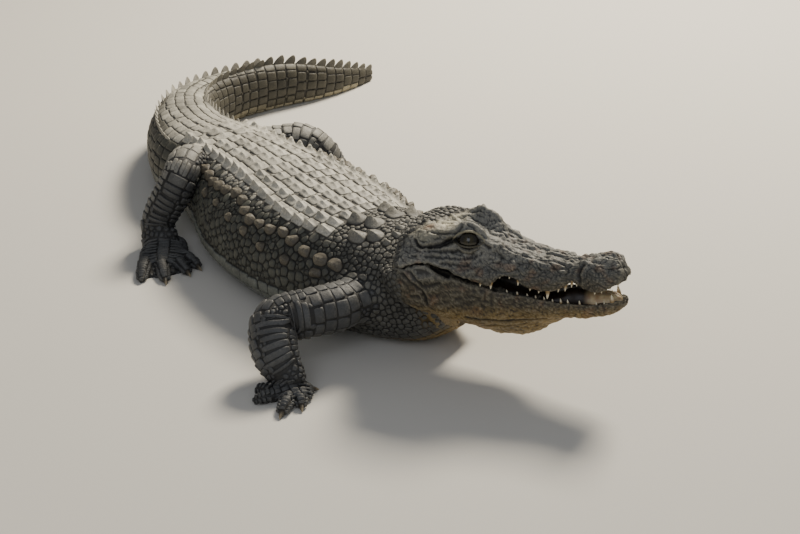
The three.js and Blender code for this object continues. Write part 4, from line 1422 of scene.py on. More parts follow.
def pave(kind, piece, start, end, spacing, rule, **more):
    """Lays rings of scales as a rule says: arcs, half lengths, half widths and heights."""
    rows = []
    for n, t, half in body_rings(start, end, spacing):
        arcs, *sizes = rule(n, t, half)
        rows.append([np.broadcast_to(v, len(arcs)) for v in (t, arcs, *sizes)])
    return plates(*np.concatenate(rows, 1), 0.0, kind=kind, piece=piece, **more)


def belly(n, t, half):
    arcs = np.arange(half * BELLY_STARTS, half, BELLY_SQUARE)
    return arcs, 12.5, 12.5, np.where(arcs < arcs[0] + 2, 4.2, 1.6)


def whorls(n, t, half):
    columns = max(2, int(round(half / WHORL_SCALE)))
    return (np.arange(columns) + 0.5) * half / columns, WHORL / 2, half / columns / 2, 2.4


def flank(n, t, half):
    arcs = np.arange(shield_edge(t) + 18 + (n % 2) * 9, half * BELLY_STARTS - 18, 18.5)
    size = chance.uniform(0.68, 1.2, len(arcs))
    return arcs, 7.0 * size, 9.0 * size, 2.6


def neck(n, t, half):
    arcs = np.arange(26 + (n % 2) * 8, half * 0.7, 17)
    size = chance.uniform(0.5, 1.0, len(arcs))
    return arcs, 6.4 * size, 6.8 * size, 3.2


def throat(n, t, half):
    return np.arange(half - 7, half * 0.66, -14), 7.2, 7.0, 1.5


def nape_sides(n, t, half):
    return np.arange(42 + (n % 2) * 6.5, half * 0.72, 13), 3.9, 6.4, 2.3


for region in (
        ("square", "belly_scutes", 12.8, 18.6, BELLY_SQUARE, belly, 0.7, 0.03),
        ("square", "tail_scales", 0.4, 12.75, WHORL, whorls, 0.6, 0.02),
        ("flank", "flank_scales", 12.9, 18.3, 14.5, flank, 0.74, 0.24),
        ("bead", "neck_granules", 18.2, 21.6, 15, neck, 0.85, 0.3),
        ("square", "throat_scales", 18.2, 21.6, 15, throat, 0.7, 0.06),
        ("bead", "neck_granules", 19.45, 21.5, 8.0, nape_sides, 0.62, 0.14)):
    *where, share, jitter = region
    print(region[1], pave(*where, share=share, jitter=jitter))

# %% [markdown]
# ## Lay the limbs
#
# Down the front of a limb run wide bands, one above the other like roof tiles. Beside them the
# scales are squarer, and they get smaller round the inside, where the skin has to fold. Toes
# are ringed with narrow scutes on top.

# %% Toes
TOE_RING = 7.4  # mm
# Where scales lie across the top (share of the way round) and their half widths (the same).
PALM_ROW = np.linspace(-0.25, 0.25, 7), np.full(7, 1 / 14)
TOE_ROW = np.array([-0.25, 0, 0.25]), np.array([0.07, 0.17, 0.07])
for palm, digits, _ in paws.values():
    for sheet in [palm, *digits]:
        share, width = PALM_ROW if sheet is palm else TOE_ROW
        far = length(np.diff(sheet.points.mean(1), axis=0))[:, 0].sum()
        step = far / (sheet.rings - 1)
        rings = np.arange(0.6 * TOE_RING / step, sheet.rings - 1, TOE_RING / step)
        ring, j = np.meshgrid(rings, share * sheet.places, indexing="ij")
        around = at_ring(ring, sheet.girth)
        lay("band", "toe_rings", sheet, step, ring, j, TOE_RING / 2, (around * width).ravel(), 2.7,
            tone=leg_tone, share=0.55, lost=6, jitter=0.03)

# %% Legs
# Along a leg: where a stretch starts and ends (share of its length), half length, half width
# of the band in front and of the scales beside it, and height.
FORELEG_BANDS = [(0.06, 0.50, 9.5, 15.5, 13, 1.9), (0.50, 0.9, 5.6, 30, 9, 2.2)]
HINDLEG_BANDS = [(0.08, 0.50, 8.0, 17, 12, 1.9), (0.50, 0.88, 6.0, 24, 8.5, 2.2)]
for name, sheet in legs.items():
    bands = FORELEG_BANDS if name.startswith("fore") else HINDLEG_BANDS
    forward = sheet.normals @ np.array([0.8, 0.5 * LEGS[name][1], 0.4])
    front = np.argmax(forward, 1)  # the place that faces forwards in each ring
    front = np.unwrap(front * 2 * math.pi / sheet.places) * sheet.places / (2 * math.pi)
    rows = []
    for first, last, long, wide, narrow, high in bands:
        rings = np.arange(first * sheet.rings, last * sheet.rings, 2 * long / LEG_STEP)
        for n, ring in enumerate(rings):
            around, middle = float(at_ring(ring, sheet.girth)), float(at_ring(ring, front))
            count = max(3, int(round((around - 2 * wide) / (2 * narrow))))
            share = (around - 2 * wide) / count
            arcs = np.concatenate([[0.0], wide + (np.arange(count) + 0.5) * share])
            j = middle + (arcs + (n % 2) * 0.25 * narrow) / around * sheet.places
            widths = np.concatenate([[wide], np.full(count, share / 2)])
            rows.append([np.broadcast_to(v, count + 1) for v in (ring, j, long, widths, high)])
    lay("band", "leg_scales", sheet, LEG_STEP, *np.concatenate(rows, 1), tone=leg_tone,
        share=0.76, lost=12, jitter=0.04)
    if name.startswith("hind"):  # dust settles on what faces up
        facing_up = ramp(laid[-1]["normal"][:, 2], 0.2, 0.9)
        laid[-1]["tone"] = mixed(laid[-1]["tone"], BACK, 0.5 * facing_up)
print(sum(len(group["spot"]) for group in laid), "scales with the limbs")

# %% [markdown]
# ## Fill in with granules
#
# Wherever room is left, as in the armpits, on the webs and between the larger scales of the
# neck, small granules fill the skin. They are tried at random places, and one is kept where it
# is clear of everything laid before. A grid of cubes finds the neighbours quickly.

# %% Granules
CUBE = 24.0  # mm, wider than any two granules that can touch
TRIES, NEAREST = 60000, 10
GRANULES = (5.0, 0.86), (3.9, 0.82), (3.0, 0.78)  # radius, and distance as a share of two radii
cubes = {}


def cube_of(p):
    return int(p[0] // CUBE), int(p[1] // CUBE), int(p[2] // CUBE)


def has_room(spot, radius, share):
    x, y, z = cube_of(spot)
    return all(math.dist(spot, other) >= share * (radius + r)
               for a in (x - 1, x, x + 1) for b in (y - 1, y, y + 1) for c in (z - 1, z, z + 1)
               for other, r in cubes.get((a, b, c), ()))


def clear_of_laid(spots):
    """How far each spot lies outside the nearest scales laid before, in mm."""
    _, whole = everything_laid()
    others = tree_of(whole[0])
    near = np.array([[n for _, n, _ in others.find_n(p, NEAREST)] for p in spots])
    way = spots[:, None] - whole[0][near]
    return (length(way)[..., 0] - reach_along(way, near, whole, 4)).min(1)


corners = np.array([skin_points[list(face.vertices)[:3]] for face in united.polygons])
face_area = length(np.cross(corners[:, 1] - corners[:, 0], corners[:, 2] - corners[:, 0]))[:, 0]
far_from_head = in_head(corners.mean(1))[:, 0] > 352
face_area = face_area * (far_from_head | (corners[:, :, 0].mean(1) < 380))
tries = chance.choice(len(corners), TRIES, p=face_area / face_area.sum())
shares = chance.dirichlet((1, 1, 1), len(tries))
tried = (corners[tries] * shares[..., None]).sum(1)
kept, kept_size = [], []
free = clear_of_laid(tried)
for size, share in GRANULES:
    for spot in tried[free > size * 0.5].tolist():
        if has_room(spot, size, share):
            cubes.setdefault(cube_of(spot), []).append((spot, size))
            kept.append(spot)
            kept_size.append(size)
kept_size = np.array(kept_size)
spot, normal = on_skin(np.array(kept))
ahead = sample_ahead[nearest_in(unrolled, spot)]
laid.append({
    "spot": spot, "normal": normal, "ahead": unit(ahead - normal * along(ahead, normal)[:, None]),
    "long": kept_size, "wide": kept_size, "high": kept_size * 0.45, "keel": np.zeros(len(spot)),
    "tone": flesh_tones[nearest_in(flesh_tree, spot)] * chance.normal(0.85, 0.1, (len(spot), 1)),
    "kind": np.full(len(spot), KIND_NAMES.index("granule")),
    "piece": np.where(np.arange(len(spot)) % 2, "granules_a", "granules_b")})
print(len(spot), "granules fill the gaps")


# %% [markdown]
# ## The crest
#
# Over the hips and the first half of the tail a row of upright scales stands on each side like a
# crest. The two rows lean out, grow towards the tail and meet in one, which runs on to the tip.
# Each is a flat horn blade with a thick foot, leaning back. Its outline is swept upwards: at
# every height a lens-shaped ring, narrower and further back than the one below.

# %% Crest scales
CREST_STARTS, CREST_JOINS = 12.2, 5.9  # rows where the crest starts, and where two become one
CREST_FOOT = 4.0  # mm that a blade starts under the skin
BLADE_SIDES = 14
BLADE_LEVELS = np.array([0, 0.12, 0.3, 0.5, 0.7, 0.86, 0.96])
blades = []


def blade(t, angle, long, high, thick, lean):
    """Rings of one crest scale at row t of the spine, its axes, and its place on the unwrap."""
    spot, _ = on_skin(spine_point(t, angle))
    _, _, ahead, _ = body.at(np.array(ring_of(t)), np.array(0.0))
    ahead = unit(ahead)
    up = unit(lean - ahead * (lean @ ahead))
    side = np.cross(ahead, up)
    turn = np.arange(BLADE_SIDES) * 2 * math.pi / BLADE_SIDES
    v = BLADE_LEVELS[:, None]
    half = 0.5 * long * (1 - v ** 2.3) ** 0.8
    lens = 0.5 * thick * (1 - v) ** 0.9 * (1 - 0.35 * v) + 0.35
    back = long * (0.34 * v ** 1.1)
    x = half * np.cos(turn) - back
    y = lens * np.sign(np.sin(turn)) * np.abs(np.sin(turn)) ** 1.3
    z = (high + CREST_FOOT) * v - CREST_FOOT - 1.5 * np.cos(turn) * (1 - v)
    return (spot + x[..., None] * ahead + y[..., None] * side + z[..., None] * up,
            np.stack([x, np.where(np.sin(turn) >= 0, 1, -1) * (3 + high * v)], -1), spot)


for n, t, half in body_rings(0.4, CREST_STARTS, WHORL):
    grown = min(1, (CREST_STARTS - t) / (CREST_STARTS - CREST_JOINS))
    wobble = chance.uniform(0.88, 1.1, 2)
    if t < CREST_JOINS:
        high = (8 + 4 * min(t, 2.4)) * wobble[0] + 3
        blades.append((t, *blade(t, 0.0, WHORL * 1.06, high, 9, UP)))
        continue
    outwards = body.at(np.array(ring_of(t)), np.array(40.0))[1]  # a quarter round, the left side
    for side in (1, -1):
        angle = side * (0.12 + 0.66 * min(1, (t - CREST_JOINS) / 4))
        lean = UP + outwards * side * 0.4
        high = (6 + 11 * grown) * wobble[max(side, 0)] + 3
        blades.append((t, *blade(t, angle, WHORL * 1.02, high, 11, lean)))
size = len(BLADE_LEVELS) * BLADE_SIDES
starts = (np.arange(len(blades)) * size)[:, None, None]
quads = quads_between(len(BLADE_LEVELS), BLADE_SIDES) + starts
rim = np.arange(BLADE_SIDES)
caps = np.array([rim[::-1], size - BLADE_SIDES + rim]) + starts
blade_t, blade_points, blade_spread, blade_spots = (np.array(part) for part in zip(*blades))
blade_points = blade_points.reshape(-1, 3)
faces = facing_out(blade_points, [quads.reshape(-1, 4), caps.reshape(-1, BLADE_SIDES)])
crest = make_object("crest", blade_points, faces, horn_scale)
# Paler towards the hips, from dust and from painted sunlight.
crest_tone = mixed(body_tone(blade_t, 0.5), BACK, 0.1 + 0.5 * ramp(blade_t, 7, 10))
crest_tone = crest_tone * chance.normal(1, 0.08, (len(blades), 1))
give_tone(crest.data, np.repeat(crest_tone, size, 0))
level = np.repeat(BLADE_LEVELS, BLADE_SIDES)
give_rise(crest.data, np.tile(0.3 + 0.65 * level, len(blades)))
foot_uv = sample_uv[nearest_in(unrolled, blade_spots)][:, None]
put_uv(crest.data, (foot_uv + blade_spread.reshape(-1, size, 2)).reshape(-1, 2) / UNWRAP)
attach(crest, "root")
print(len(blades), "crest scales")

# %% [markdown]
# ## Cut every scale to its neighbours
#
# Each scale looks at its eighteen nearest neighbours in the plane that touches the skin there.
# Towards each of them a wall stands partway, nearer the smaller one. In every direction the
# outline stops at the nearest wall. A soft minimum instead of a hard one rounds the corners.

# %% Outlines
scales, _ = everything_laid()
NEIGHBOURS, SOFTNESS = 18, 13
LEAST = 0.6  # mm from a scale's middle to its nearest wall
scale_tree = tree_of(scales["spot"])
beside = np.array([[n for _, n, _ in scale_tree.find_n(p, NEIGHBOURS + 1)][1:]
                   for p in scales["spot"]])


def outlines(mine, sides, corner, groove, room):
    """Some directions for each scale, closer together towards its ends, and its reach in them."""
    turn = np.arange(sides) * 2 * math.pi / sides
    long, wide = scales["long"][mine][:, None], scales["wide"][mine][:, None]
    ahead, across = scales["ahead"][mine][:, None], scales["across"][mine][:, None]
    to_x, to_y = long * np.cos(turn), wide * np.sin(turn)
    to_x, to_y = to_x / np.hypot(to_x, to_y), to_y / np.hypot(to_x, to_y)
    other = beside[mine]
    its_ahead, its_across = scales["ahead"][other], scales["across"][other]
    its_size = scales["long"][other], scales["wide"][other]
    way = scales["spot"][other] - scales["spot"][mine][:, None]
    far = length(way)[..., 0]
    x, y = along(way, ahead), along(way, across)
    x, y = x / np.maximum(np.hypot(x, y), 1e-6) * far, y / np.maximum(np.hypot(x, y), 1e-6) * far
    if corner > 4:  # boxes: each wall stands square to the scale
        deep = long + reach(*its_size, along(ahead, its_ahead), along(ahead, its_across))
        broad = wide + reach(*its_size, along(across, its_ahead), along(across, its_across))
        lengthways = np.abs(x) - deep > np.abs(y) - broad
        wall = np.where(lengthways, np.abs(x) * long / deep, np.abs(y) * wide / broad)
        x, y = np.where(lengthways, np.sign(x) * far, 0), np.where(lengthways, 0, np.sign(y) * far)
    else:
        ours = reach(long, wide, x, y)
        wall = far * ours / (ours + reach(*its_size, along(way, its_ahead), along(way, its_across)))
    facing = x[..., None] * to_x[:, None] + y[..., None] * to_y[:, None]
    facing = facing / np.maximum(far, 1e-6)[..., None]
    same_side = along(scales["normal"][other], scales["normal"][mine][:, None]) > -0.1
    nearness = (np.where((facing > 0.02) & same_side[..., None], facing, 0.0)
                / np.maximum(wall - groove, LEAST)[..., None])
    own = room * reach(long, wide, to_x, to_y, corner)
    worst = np.maximum(nearness.max(1), 1 / own)
    crowd = ((nearness / worst[:, None]) ** SOFTNESS).sum(1) + (1 / own / worst) ** SOFTNESS
    return to_x, to_y, 1 / worst / crowd ** (1 / SOFTNESS)


LEAST_PATCH = 2.9  # mm, half the size of the smallest patch that a scale gets on the unwrap


def keel_of(x, y, ridge):
    """A blade of bone along a scale: x runs from its rear (-1) to its front (1), y across."""
    across = np.clip(1 - np.abs(y) / ridge, 0, 1) ** 1.15
    return across * ramp(-x, -0.95, 0.5) * ramp(x, -1.12, -0.62)


def shape_of(mine, sides, rings, rises, corner, groove, tilt, room, ridge):
    """Points, faces and attributes of all the scales of one kind."""
    to_x, to_y, far = outlines(mine, sides, corner, groove, room)
    spot, normal = scales["spot"][mine], scales["normal"][mine]
    reached = (to_x[..., None] * scales["ahead"][mine][:, None]
               + to_y[..., None] * scales["across"][mine][:, None]) * far[..., None]
    rim, rim_normal = on_skin(spot[:, None] + reached)
    half, half_normal = on_skin(spot[:, None] + reached * 0.5)
    f = np.array(rings)[None, None, :, None]
    # A curve through the middle, the point halfway and the rim keeps each ring on the skin.
    at_middle, at_half, at_rim = (2 * f - 1) * (f - 1), 4 * f * (1 - f), f * (2 * f - 1)
    base = spot[:, None, None] * at_middle + half[:, :, None] * at_half + rim[:, :, None] * at_rim
    lean = unit(normal[:, None, None] + half_normal[:, :, None] * at_half
                + rim_normal[:, :, None] * at_rim * 0.6)
    f = f[..., 0]
    x = to_x[..., None] * far[..., None] * f / scales["long"][mine][:, None, None]
    y = to_y[..., None] * far[..., None] * f / scales["wide"][mine][:, None, None]
    high, keel = scales["high"][mine][:, None, None], scales["keel"][mine][:, None, None]
    edge = np.clip(np.array(rises), 0, 1)
    rough = chance.normal(0, 0.05, x.shape) * (edge > 0.7)
    up = high * (np.array(rises) + rough + tilt * edge * np.clip(-x, -0.6, 1.0))
    up = up + keel * keel_of(x, y, ridge)
    points = base + lean * up[..., None]
    top = spot + normal * (high * rises[-1] + keel * keel_of(0.0, 0.0, ridge))[:, 0]
    count, m, k = points.shape[:3]
    ringed = points.transpose(0, 2, 1, 3).reshape(count, k * m, 3)
    points = np.concatenate([ringed, top[:, None]], 1)
    flat = far[:, None] * f.transpose(0, 2, 1)
    flat = flat * np.maximum(1.0, LEAST_PATCH / far.mean(1))[:, None, None]
    spread = np.stack([to_x[:, None] * flat, to_y[:, None] * flat], -1).reshape(count, k * m, 2)
    spread = np.concatenate([spread, np.zeros((count, 1, 2))], 1)
    # Low rims count as hollow, so the material paints each scale's edge dark with dirt and shade.
    rise = (np.array(rises) * 0.62 + 0.4 * (keel * keel_of(x, y, ridge) / 8)
            + 0.16 * np.clip(-x, 0, 1) * (tilt > 0)).transpose(0, 2, 1)
    rise = np.clip(rise, 0, 1).reshape(count, k * m)
    rise = np.concatenate([rise, np.full((count, 1), 0.64)], 1)
    last = (k - 1) * m + np.arange(m)
    fan = np.stack([last, np.roll(last, -1), np.full(m, k * m)], 1)
    bottom = np.arange(m)[None, ::-1]
    return points, spread, rise, (quads_between(k, m), fan, bottom)


# %% [markdown]
# ## Make the pieces
#
# All scales of a region are one mesh, because thousands of objects would be slow to draw and
# hard to handle. Each scale keeps its own colour, a little lighter or darker than its
# neighbours, and a map from its points to its place on the unrolled skin.

# %% Join the scales of each region
root = nearest_in(unrolled, scales["spot"])
offset = scales["spot"] - sample_spots[root]
root_uv = sample_uv[root] + np.stack([along(offset, sample_ahead[root]),
                                      along(offset, sample_across[root])], 1)
triangles = 0
for piece in sorted(set(scales["piece"])):
    points, uvs, rises, tones, groups, start = [], [], [], [], {}, 0
    for number, name in enumerate(KIND_NAMES):
        mine = np.nonzero((scales["piece"] == piece) & (scales["kind"] == number))[0]
        if not len(mine):
            continue
        made, spread, rise, faces = shape_of(mine, **KINDS[name])
        size = made.shape[1]
        points.append(made.reshape(-1, 3))
        uvs.append((root_uv[mine][:, None] + spread).reshape(-1, 2) / UNWRAP)
        rises.append(rise.ravel())
        tones.append(np.repeat(scales["tone"][mine], size, 0))
        for group in faces:
            shifted = group[None] + (start + np.arange(len(mine)) * size)[:, None, None]
            groups.setdefault(group.shape[1], []).append(shifted.reshape(-1, group.shape[1]))
            triangles += len(mine) * len(group) * (group.shape[1] - 2)
        start += len(mine) * size
    points = np.concatenate(points)
    faces = facing_out(points, [np.concatenate(group) for group in groups.values()])
    made = make_object(piece, points, faces, horn_scale)
    give_tone(made.data, np.clip(np.concatenate(tones), 0.003, 0.9))
    give_rise(made.data, np.concatenate(rises))
    put_uv(made.data, np.concatenate(uvs))
    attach(made, "root")
    print(piece, (scales["piece"] == piece).sum(), "scales")
print(triangles, "triangles of scales")


# %% [markdown]
# ## Eyes
#
# A crocodile's eye is a glossy ball with an olive iris and a pupil that closes to an upright
# slit in daylight. Its front bulges a little, as the clear cornea does. The ball is spun from
# rings that start at the pupil, so the iris pattern is painted by distance from the pupil. A
# texture would do too, but colours on the points are enough and travel with the mesh.

# %% Eyeballs
IRIS, CORNEA_BULGE, EYE_DEEPER = 0.62, 1.1, 1.2  # radians from the pupil, and mm
PUPIL = 1.5, 6.5  # half width and half height, mm
eye_clear, tree, where, tone = new_material("wet_cornea")
veins = add_node(tree, "TexNoise", lumps(where, 1.6, 3))
veined = add_node(tree, "MapRange", (veins, 0.3, 0.7, 0.8, 1.2))
give_surface(tree, {
    "Base Color": add_node(tree, "Mix", {0: 1, 6: tone, 7: veined}, **MULTIPLY),
    "Roughness": 0.25, "IOR": 1.376,  # the cornea's own
    "Coat Weight": 1, "Coat Roughness": 0.04, "Coat IOR": 1.336})  # tears
polar = np.concatenate([np.linspace(0.02, IRIS + 0.1, 26), np.linspace(IRIS + 0.16, 3.12, 22)])
turn = turns(72)
radius = EYE_RADIUS - EYE_DEEPER + CORNEA_BULGE * np.exp(-(polar / 0.5) ** 2)
for side, word in ((1, "left"), (-1, "right")):
    centre, looks, back, up = eye_frame(side)
    ring = np.cos(turn)[None, :, None] * back + np.sin(turn)[None, :, None] * up
    local = radius[:, None, None] * (np.cos(polar)[:, None, None] * looks
                                     + np.sin(polar)[:, None, None] * ring)
    ball = Sheet(on_head(*(centre + local).reshape(-1, 3).T).reshape(local.shape))
    eyeball = make_object(f"eyeball_{word}", *joined([ball]), eye_clear)
    x = np.sin(polar)[:, None] * np.cos(turn) * EYE_RADIUS
    y = np.sin(polar)[:, None] * np.sin(turn) * EYE_RADIUS
    streak = 0.75 + 0.35 * np.sin(turn * 23 + 3 * np.sin(turn * 7))
    from_pupil = polar[:, None] + 0 * x
    tone = mixed(linear("#38331f") * streak[None, :, None], linear("#17150f"),
                 ramp(from_pupil, 0.25, IRIS))
    tone = mixed(tone, linear("#15120d"), ramp(from_pupil, IRIS - 0.05, IRIS + 0.06))
    pupil = 1 - ramp(np.hypot(x / PUPIL[0], y / PUPIL[1]), 0.85, 1.15)
    tone = mixed(tone, linear("#030303"), pupil)
    ends = tone[:1, 0], tone[-1:, 0]
    give_tone(eyeball.data, np.concatenate([tone.reshape(-1, 3), *ends]))
    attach(eyeball, "root")
    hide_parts(f"eye_{word}")
print("eyeballs of", 2 * EYE_RADIUS, "mm under the lids")

# %% [markdown]
# ## Eyelids
#
# The edge of each lid is a smooth, slightly wet roll of skin. It is swept round the almond opening,
# thicker on top, where a bony plate in the upper lid makes it stand out. The upper rim is painted
# pale, as a highlight on it.

# %% Lid edges
LID_SIDES = 10
loop = turns(LID_SIDES)[:, None]
lid_points, lid_faces, lid_tones = [], [], []
for side in (1, -1):
    centre, looks, back, up = eye_frame(side)
    turn, path = lid_paths[side]
    upper = np.sin(turn) >= 0
    path = on_head(*(path - 0.6 * looks).T)
    path = (np.roll(path, 1, 0) + path * 2 + np.roll(path, -1, 0)) / 4
    ahead = unit(np.roll(path, -1, 0) - np.roll(path, 1, 0))
    out = unit(on_head(*looks) - on_head(0, 0, 0)) + np.zeros_like(path)
    away = unit(out - ahead * (out * ahead).sum(1)[:, None])
    thick = np.where(upper, 2.0, 1.4) * (0.3 + 0.7 * np.abs(np.sin(turn)) ** 0.7)
    rim = np.cos(loop) * away[:, None] + np.sin(loop) * np.cross(ahead, away)[:, None]
    tube = (path[:, None] + thick[:, None, None] * rim).reshape(-1, 3)
    quads = quads_between(len(path) + 1, LID_SIDES) % len(tube)  # the last ring meets the first
    lid_faces.append(facing_out(tube, [quads])[0] + sum(map(len, lid_points)))
    lid_points.append(tube)
    # The upper rim's pale colour is a painted highlight.
    shade = mixed(linear("#3d392e"), linear("#9a947c"), np.where(upper, 0.75, 0.1))
    lid_tones.append(np.repeat(shade, LID_SIDES, 0))
lids = make_object("eyelids", np.concatenate(lid_points), [np.concatenate(lid_faces)], hide)
give_tone(lids.data, np.concatenate(lid_tones))
give_rise(lids.data, np.full(len(lids.data.vertices), 0.6))
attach(lids, "root")
print("lid edges of", len(path), "rings")

# %% [markdown]
# ## Teeth and gums
#
# A tooth is a hollow cone of ivory-coloured enamel, curved back a little, pushed out by the next
# one growing inside it. Old ones are yellow and brown at the foot. Only their tips show.

# %% Teeth
TOOTH_ROOT, TOOTH_SIDES, TOOTH_RINGS = 5, 12, 9  # mm in the gum, and counts
enamel, tree, where, tone = new_material("worn_ivory_enamel")
stain = add_node(tree, "TexNoise", lumps(where, 4))
stained = add_node(tree, "MapRange", (stain, 0.45, 0.75, 0, 0.6))
give_surface(tree, {
    "Base Color": add_node(tree, "Mix", {0: stained, 6: tone, 7: rgba("#8e7850")}, **MIX),
    "Roughness": add_node(tree, "MapRange", (stain, 0.3, 0.7, 0.22, 0.45)),
    "IOR": 1.62,  # enamel
    "Normal": add_node(tree, "Bump", {"Height": stain, "Strength": 0.3, "Distance": 0.0005})})


def tooth(root, tip, long):
    """Rings from the root to near the tip, bent towards the throat."""
    axis = tip - root
    bent = unit(on_head(1, 0, 0) - on_head(0, 0, 0))[None] * 0.09 * length(axis[None])[0, 0]
    v = np.linspace(0, 0.985, TOOTH_RINGS)[:, None]
    middle = root + axis * v + bent * (v * v)
    side = unit(np.cross(axis, bent[0]))
    front = unit(np.cross(side, axis))
    around = turns(TOOTH_SIDES)[None, :, None]
    wide = (long * 0.17 + 1.3) * (1 - v ** 1.35) ** 0.8 + 0.12
    return Sheet(middle[:, None] + wide[..., None] * (np.cos(around) * side
                                                      + np.sin(around) * front * 1.1))


head_up = on_head(0, 0, 1) - on_head(0, 0, 0)
tooth_sets = {"upper_teeth": [], "lower_teeth": []}
for side in (1, -1):
    for behind, long in UPPER_TEETH:
        width, lip = read(SKULL, row_at(SKULL, behind))[6:]
        out = side * (width - 5)
        tooth_sets["upper_teeth"].append(tooth(
            on_head(behind, out, lip + TOOTH_ROOT), on_head(behind, out + side, lip - long), long))
    for behind, long in LOWER_TEETH:
        t = row_at(JAW, behind)
        edge = jaw_point(t, side * (math.pi / 2 - 0.02))
        root = edge + (jaw_point(t, 0.001) - edge) * 0.14
        tooth_sets["lower_teeth"].append(tooth(
            root - head_up * TOOTH_ROOT, root + head_up * long, long))
up_tooth = np.append(np.repeat(np.linspace(0, 1, TOOTH_RINGS), TOOTH_SIDES), [0, 1])
tooth_tone = mixed(linear("#8f7447"), linear("#e4dcc2"), ramp(up_tooth, 0.35, 0.75))
for name, sheets in tooth_sets.items():
    teeth = make_object(name, *joined(sheets), enamel)
    give_tone(teeth.data, np.tile(tooth_tone, (len(sheets), 1)))
    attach(teeth, "root")
    print(name, len(sheets))

# %% [markdown]
# ## Mouth lining
#
# Between the jaws shows the smooth lining of the floor of the mouth, pale yellow and damp, with the
# tongue fixed to it all along. It is one long low cushion, highest near the front. Behind its pale
# front it is painted near black as shadow, and the high part fills the gap between the jaws with
# that painted shadow.

# %% Lining of the mouth
flesh, tree, where, tone = new_material("damp_mouth_lining")
mottle = add_node(tree, "TexNoise", lumps(where, 9))
pore = add_node(tree, "TexNoise", lumps(where, 2.2, 3))
mottled = add_node(tree, "MapRange", (mottle, 0.35, 0.65, 0, 1))
pink = add_node(tree, "Mix", {0: mottled, 6: rgba("#c8b78f"), 7: rgba("#a98d6c")}, **MIX)
give_surface(tree, {
    "Base Color": add_node(tree, "Mix", {0: 1, 6: pink, 7: tone}, **MULTIPLY),
    "Roughness": 0.42, "IOR": 1.4,
    "Subsurface Weight": 0.15, "Subsurface Radius": (0.004, 0.002, 0.001),
    "Normal": add_node(tree, "Bump", {"Height": pore, "Strength": 0.4, "Distance": 0.0006})})
# The high part, 56 to 90 mm behind the tip, is the near black one: it fills the gap between the
# jaws where there is only shadow.
LINING = [  # distance behind the tip, half width, height over the lip line
    (10, 6, 2), (16, 13, 6), (26, 18, 9), (40, 21, 11), (56, 22, 14), (72, 23, 18), (90, 25, 17),
    (105, 27, 9), (130, 32, 3), (180, 38, 1), (240, 46, 1), (290, 52, 0),
]
LINING_SIDES = 40
behind, wide, high = read(LINING, np.linspace(0, len(LINING) - 1, 90)).T[..., None]
middle = jaw_point(row_at(JAW, behind[:, 0]), np.full(len(behind), 0.001))
across = unit(on_head(0, 1, 0) - on_head(0, 0, 0))
sine, cosine = np.sin(turns(LINING_SIDES)), np.cos(turns(LINING_SIDES))
top = cosine * np.where(cosine > 0, high + 7, 4.0)
groove = -2.2 * np.exp(-(sine / 0.22) ** 2) * (cosine > 0)
lump = np.array([ripple([(b / 9, s * 3, 1) for s in sine], 1) for b in behind[:, 0]])
rings = (middle[:, None] + across * (wide * sine)[..., None]
         + unit(head_up) * (top + groove + 1.2 * lump - 2)[..., None])
lining = make_object("mouth_lining", *joined([rounded(Sheet(rings), first=2, last=2)]), flesh)
dome = np.zeros(len(DOME_ANGLES) * LINING_SIDES)
# Painted shadow: from 48 to 66 mm behind the tip the lining turns near black.
deep = np.concatenate([dome, np.repeat(ramp(behind[:, 0], 48, 66), LINING_SIDES), dome + 1, [0, 1]])
give_tone(lining.data, mixed(linear("#ffffff"), linear("#2a211b"), deep))
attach(lining, "root")
print("mouth lining of", int(behind[-1, 0] - behind[0, 0]), "mm")

# %% [markdown]
# ## Claws
#
# Only the three inner digits of each paw have claws. They are short, blunt sheaths of horn,
# darker at the foot and worn pale at the tip.

# %% Claws
horn, tree, where, tone = new_material("dark_claw_horn")
streaks = add_node(tree, "TexNoise", lumps(where, 2.5, 5, 0.7))
streaked = add_node(tree, "MapRange", (streaks, 0.3, 0.7, 0.6, 1.3))
give_surface(tree, {
    "Base Color": add_node(tree, "Mix", {0: 1, 6: tone, 7: streaked}, **MULTIPLY),
    "Roughness": add_node(tree, "MapRange", (streaks, 0.3, 0.7, 0.35, 0.6)),
    "IOR": KERATIN_IOR,
    "Normal": add_node(tree, "Bump", {"Height": streaks, "Strength": 0.5, "Distance": 0.0008})})
# Distance from the foot of the claw, half width, half height and height of its middle.
CLAW = [(0, 4.6, 4.6, 7), (8, 4, 4.4, 6.8), (15, 2.4, 3, 4.8), (20, 0.6, 0.8, 2.2)]
CLAW_RINGS = CLAW_SIDES = 16
up_claw = np.append(np.repeat(np.linspace(0, 1, CLAW_RINGS), CLAW_SIDES), [0, 1])
horn_tone = mixed(linear("#3b352b"), linear("#9b8d72"), ramp(up_claw, 0.45, 1.0))
for name, (_, _, places) in paws.items():
    paw = name.replace("foreleg", "hand").replace("hindleg", "foot")
    claws = make_object(f"claws_{paw}", *joined(
        [along_floor(CLAW, place - way * (CLAW[-1][0] - CLAW_SHOWN), way, CLAW_RINGS, CLAW_SIDES)
         for place, way in places]), horn)
    give_tone(claws.data, np.tile(horn_tone, (len(places), 1)))
    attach(claws, "root")
    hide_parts(*[f"{paw}_claw_{n + 1}" for n in range(len(places))])
print("claws on", len(paws), "paws")


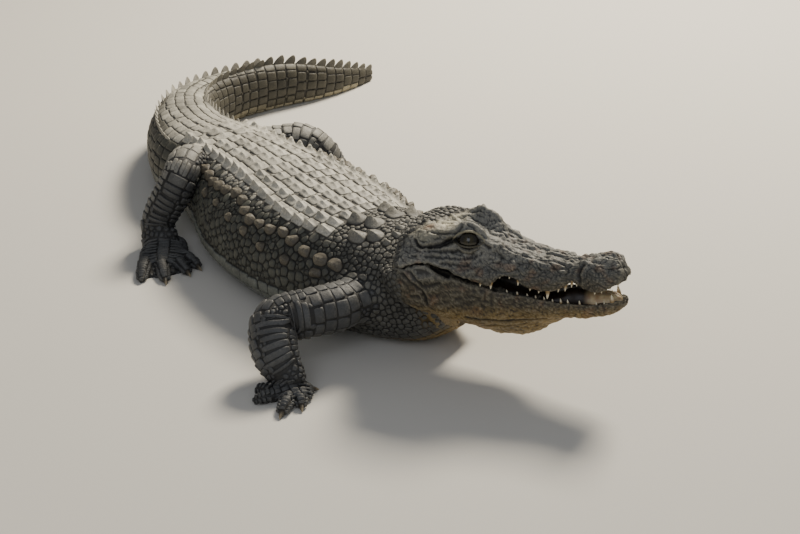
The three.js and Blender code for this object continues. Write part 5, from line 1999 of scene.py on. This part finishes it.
# %% [markdown]
# ## Camera, floor and light
#
# The camera stands about as high as a standing person's chest and looks down on the animal from
# its right and a little ahead. The floor is plain and pale. A large soft lamp high on the
# animal's left makes the back bright and lets the near flank fall off, a weaker one fills the
# near side, and the world gives an even light from everywhere.

# %% Stage
CAMERA_PLACE = np.array([2500, -1390, 1340])  # mm in the tables' frame
CAMERA_TURN, CAMERA_DIP = 58, 25  # degrees from +Y, and below the horizon
CAMERA_LENS, SENSOR = 78, 36  # mm

camera = put_in_scene("camera", bpy.data.cameras.new("camera"))
camera.data.sensor_width = SENSOR
camera.data.lens = CAMERA_LENS
camera.location = in_scene(CAMERA_PLACE)
camera.rotation_euler = (math.radians(90 - CAMERA_DIP), 0, math.radians(CAMERA_TURN))
bpy.context.scene.camera = camera

floor_paint = bpy.data.materials.new("matt_floor_paint")
floor_paint.use_nodes = True
paint = floor_paint.node_tree.nodes["Principled BSDF"]
paint.inputs["Base Color"].default_value = rgba("#cfccc4")
paint.inputs["Roughness"].default_value = 0.85
FLOOR_REACH = 12000  # mm
corner = np.array([(-1, -1, 0), (1, -1, 0), (1, 1, 0), (-1, 1, 0)]) * FLOOR_REACH
floor = make_object("floor", corner, [np.array([[0, 1, 2, 3]])], floor_paint)
floor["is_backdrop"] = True


def lamp(name, place, aim, size, power_w, colour):
    """A square area lamp at a place in metres, aimed at a point."""
    made = put_in_scene(name, bpy.data.lights.new(name, "AREA"))
    made.data.size, made.data.energy = size, power_w
    made.data.color = linear(colour)
    made.location = place
    made.rotation_euler = (Vector(place) - Vector(aim)).to_track_quat("Z", "Y").to_euler()


lamp("key", (-1.3, 2.4, 3.0), (0.1, 0, 0.1), 1.1, 330, "#fff4e0")
lamp("fill", (2.6, -2.2, 2.4), (0.2, -0.1, 0.1), 2.4, 34, "#eef3ff")
WORLD_STRENGTH = 0.27
world = bpy.data.worlds.new("studio")
world.use_nodes = True
background = world.node_tree.nodes["Background"]
background.inputs["Color"].default_value = rgba("#e9ebee")
background.inputs["Strength"].default_value = WORLD_STRENGTH
bpy.context.scene.world = world

# %% Sizes, and the end
low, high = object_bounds()
print("the visible model spans", [round(b - a, 3) for a, b in zip(low, high)], "m")
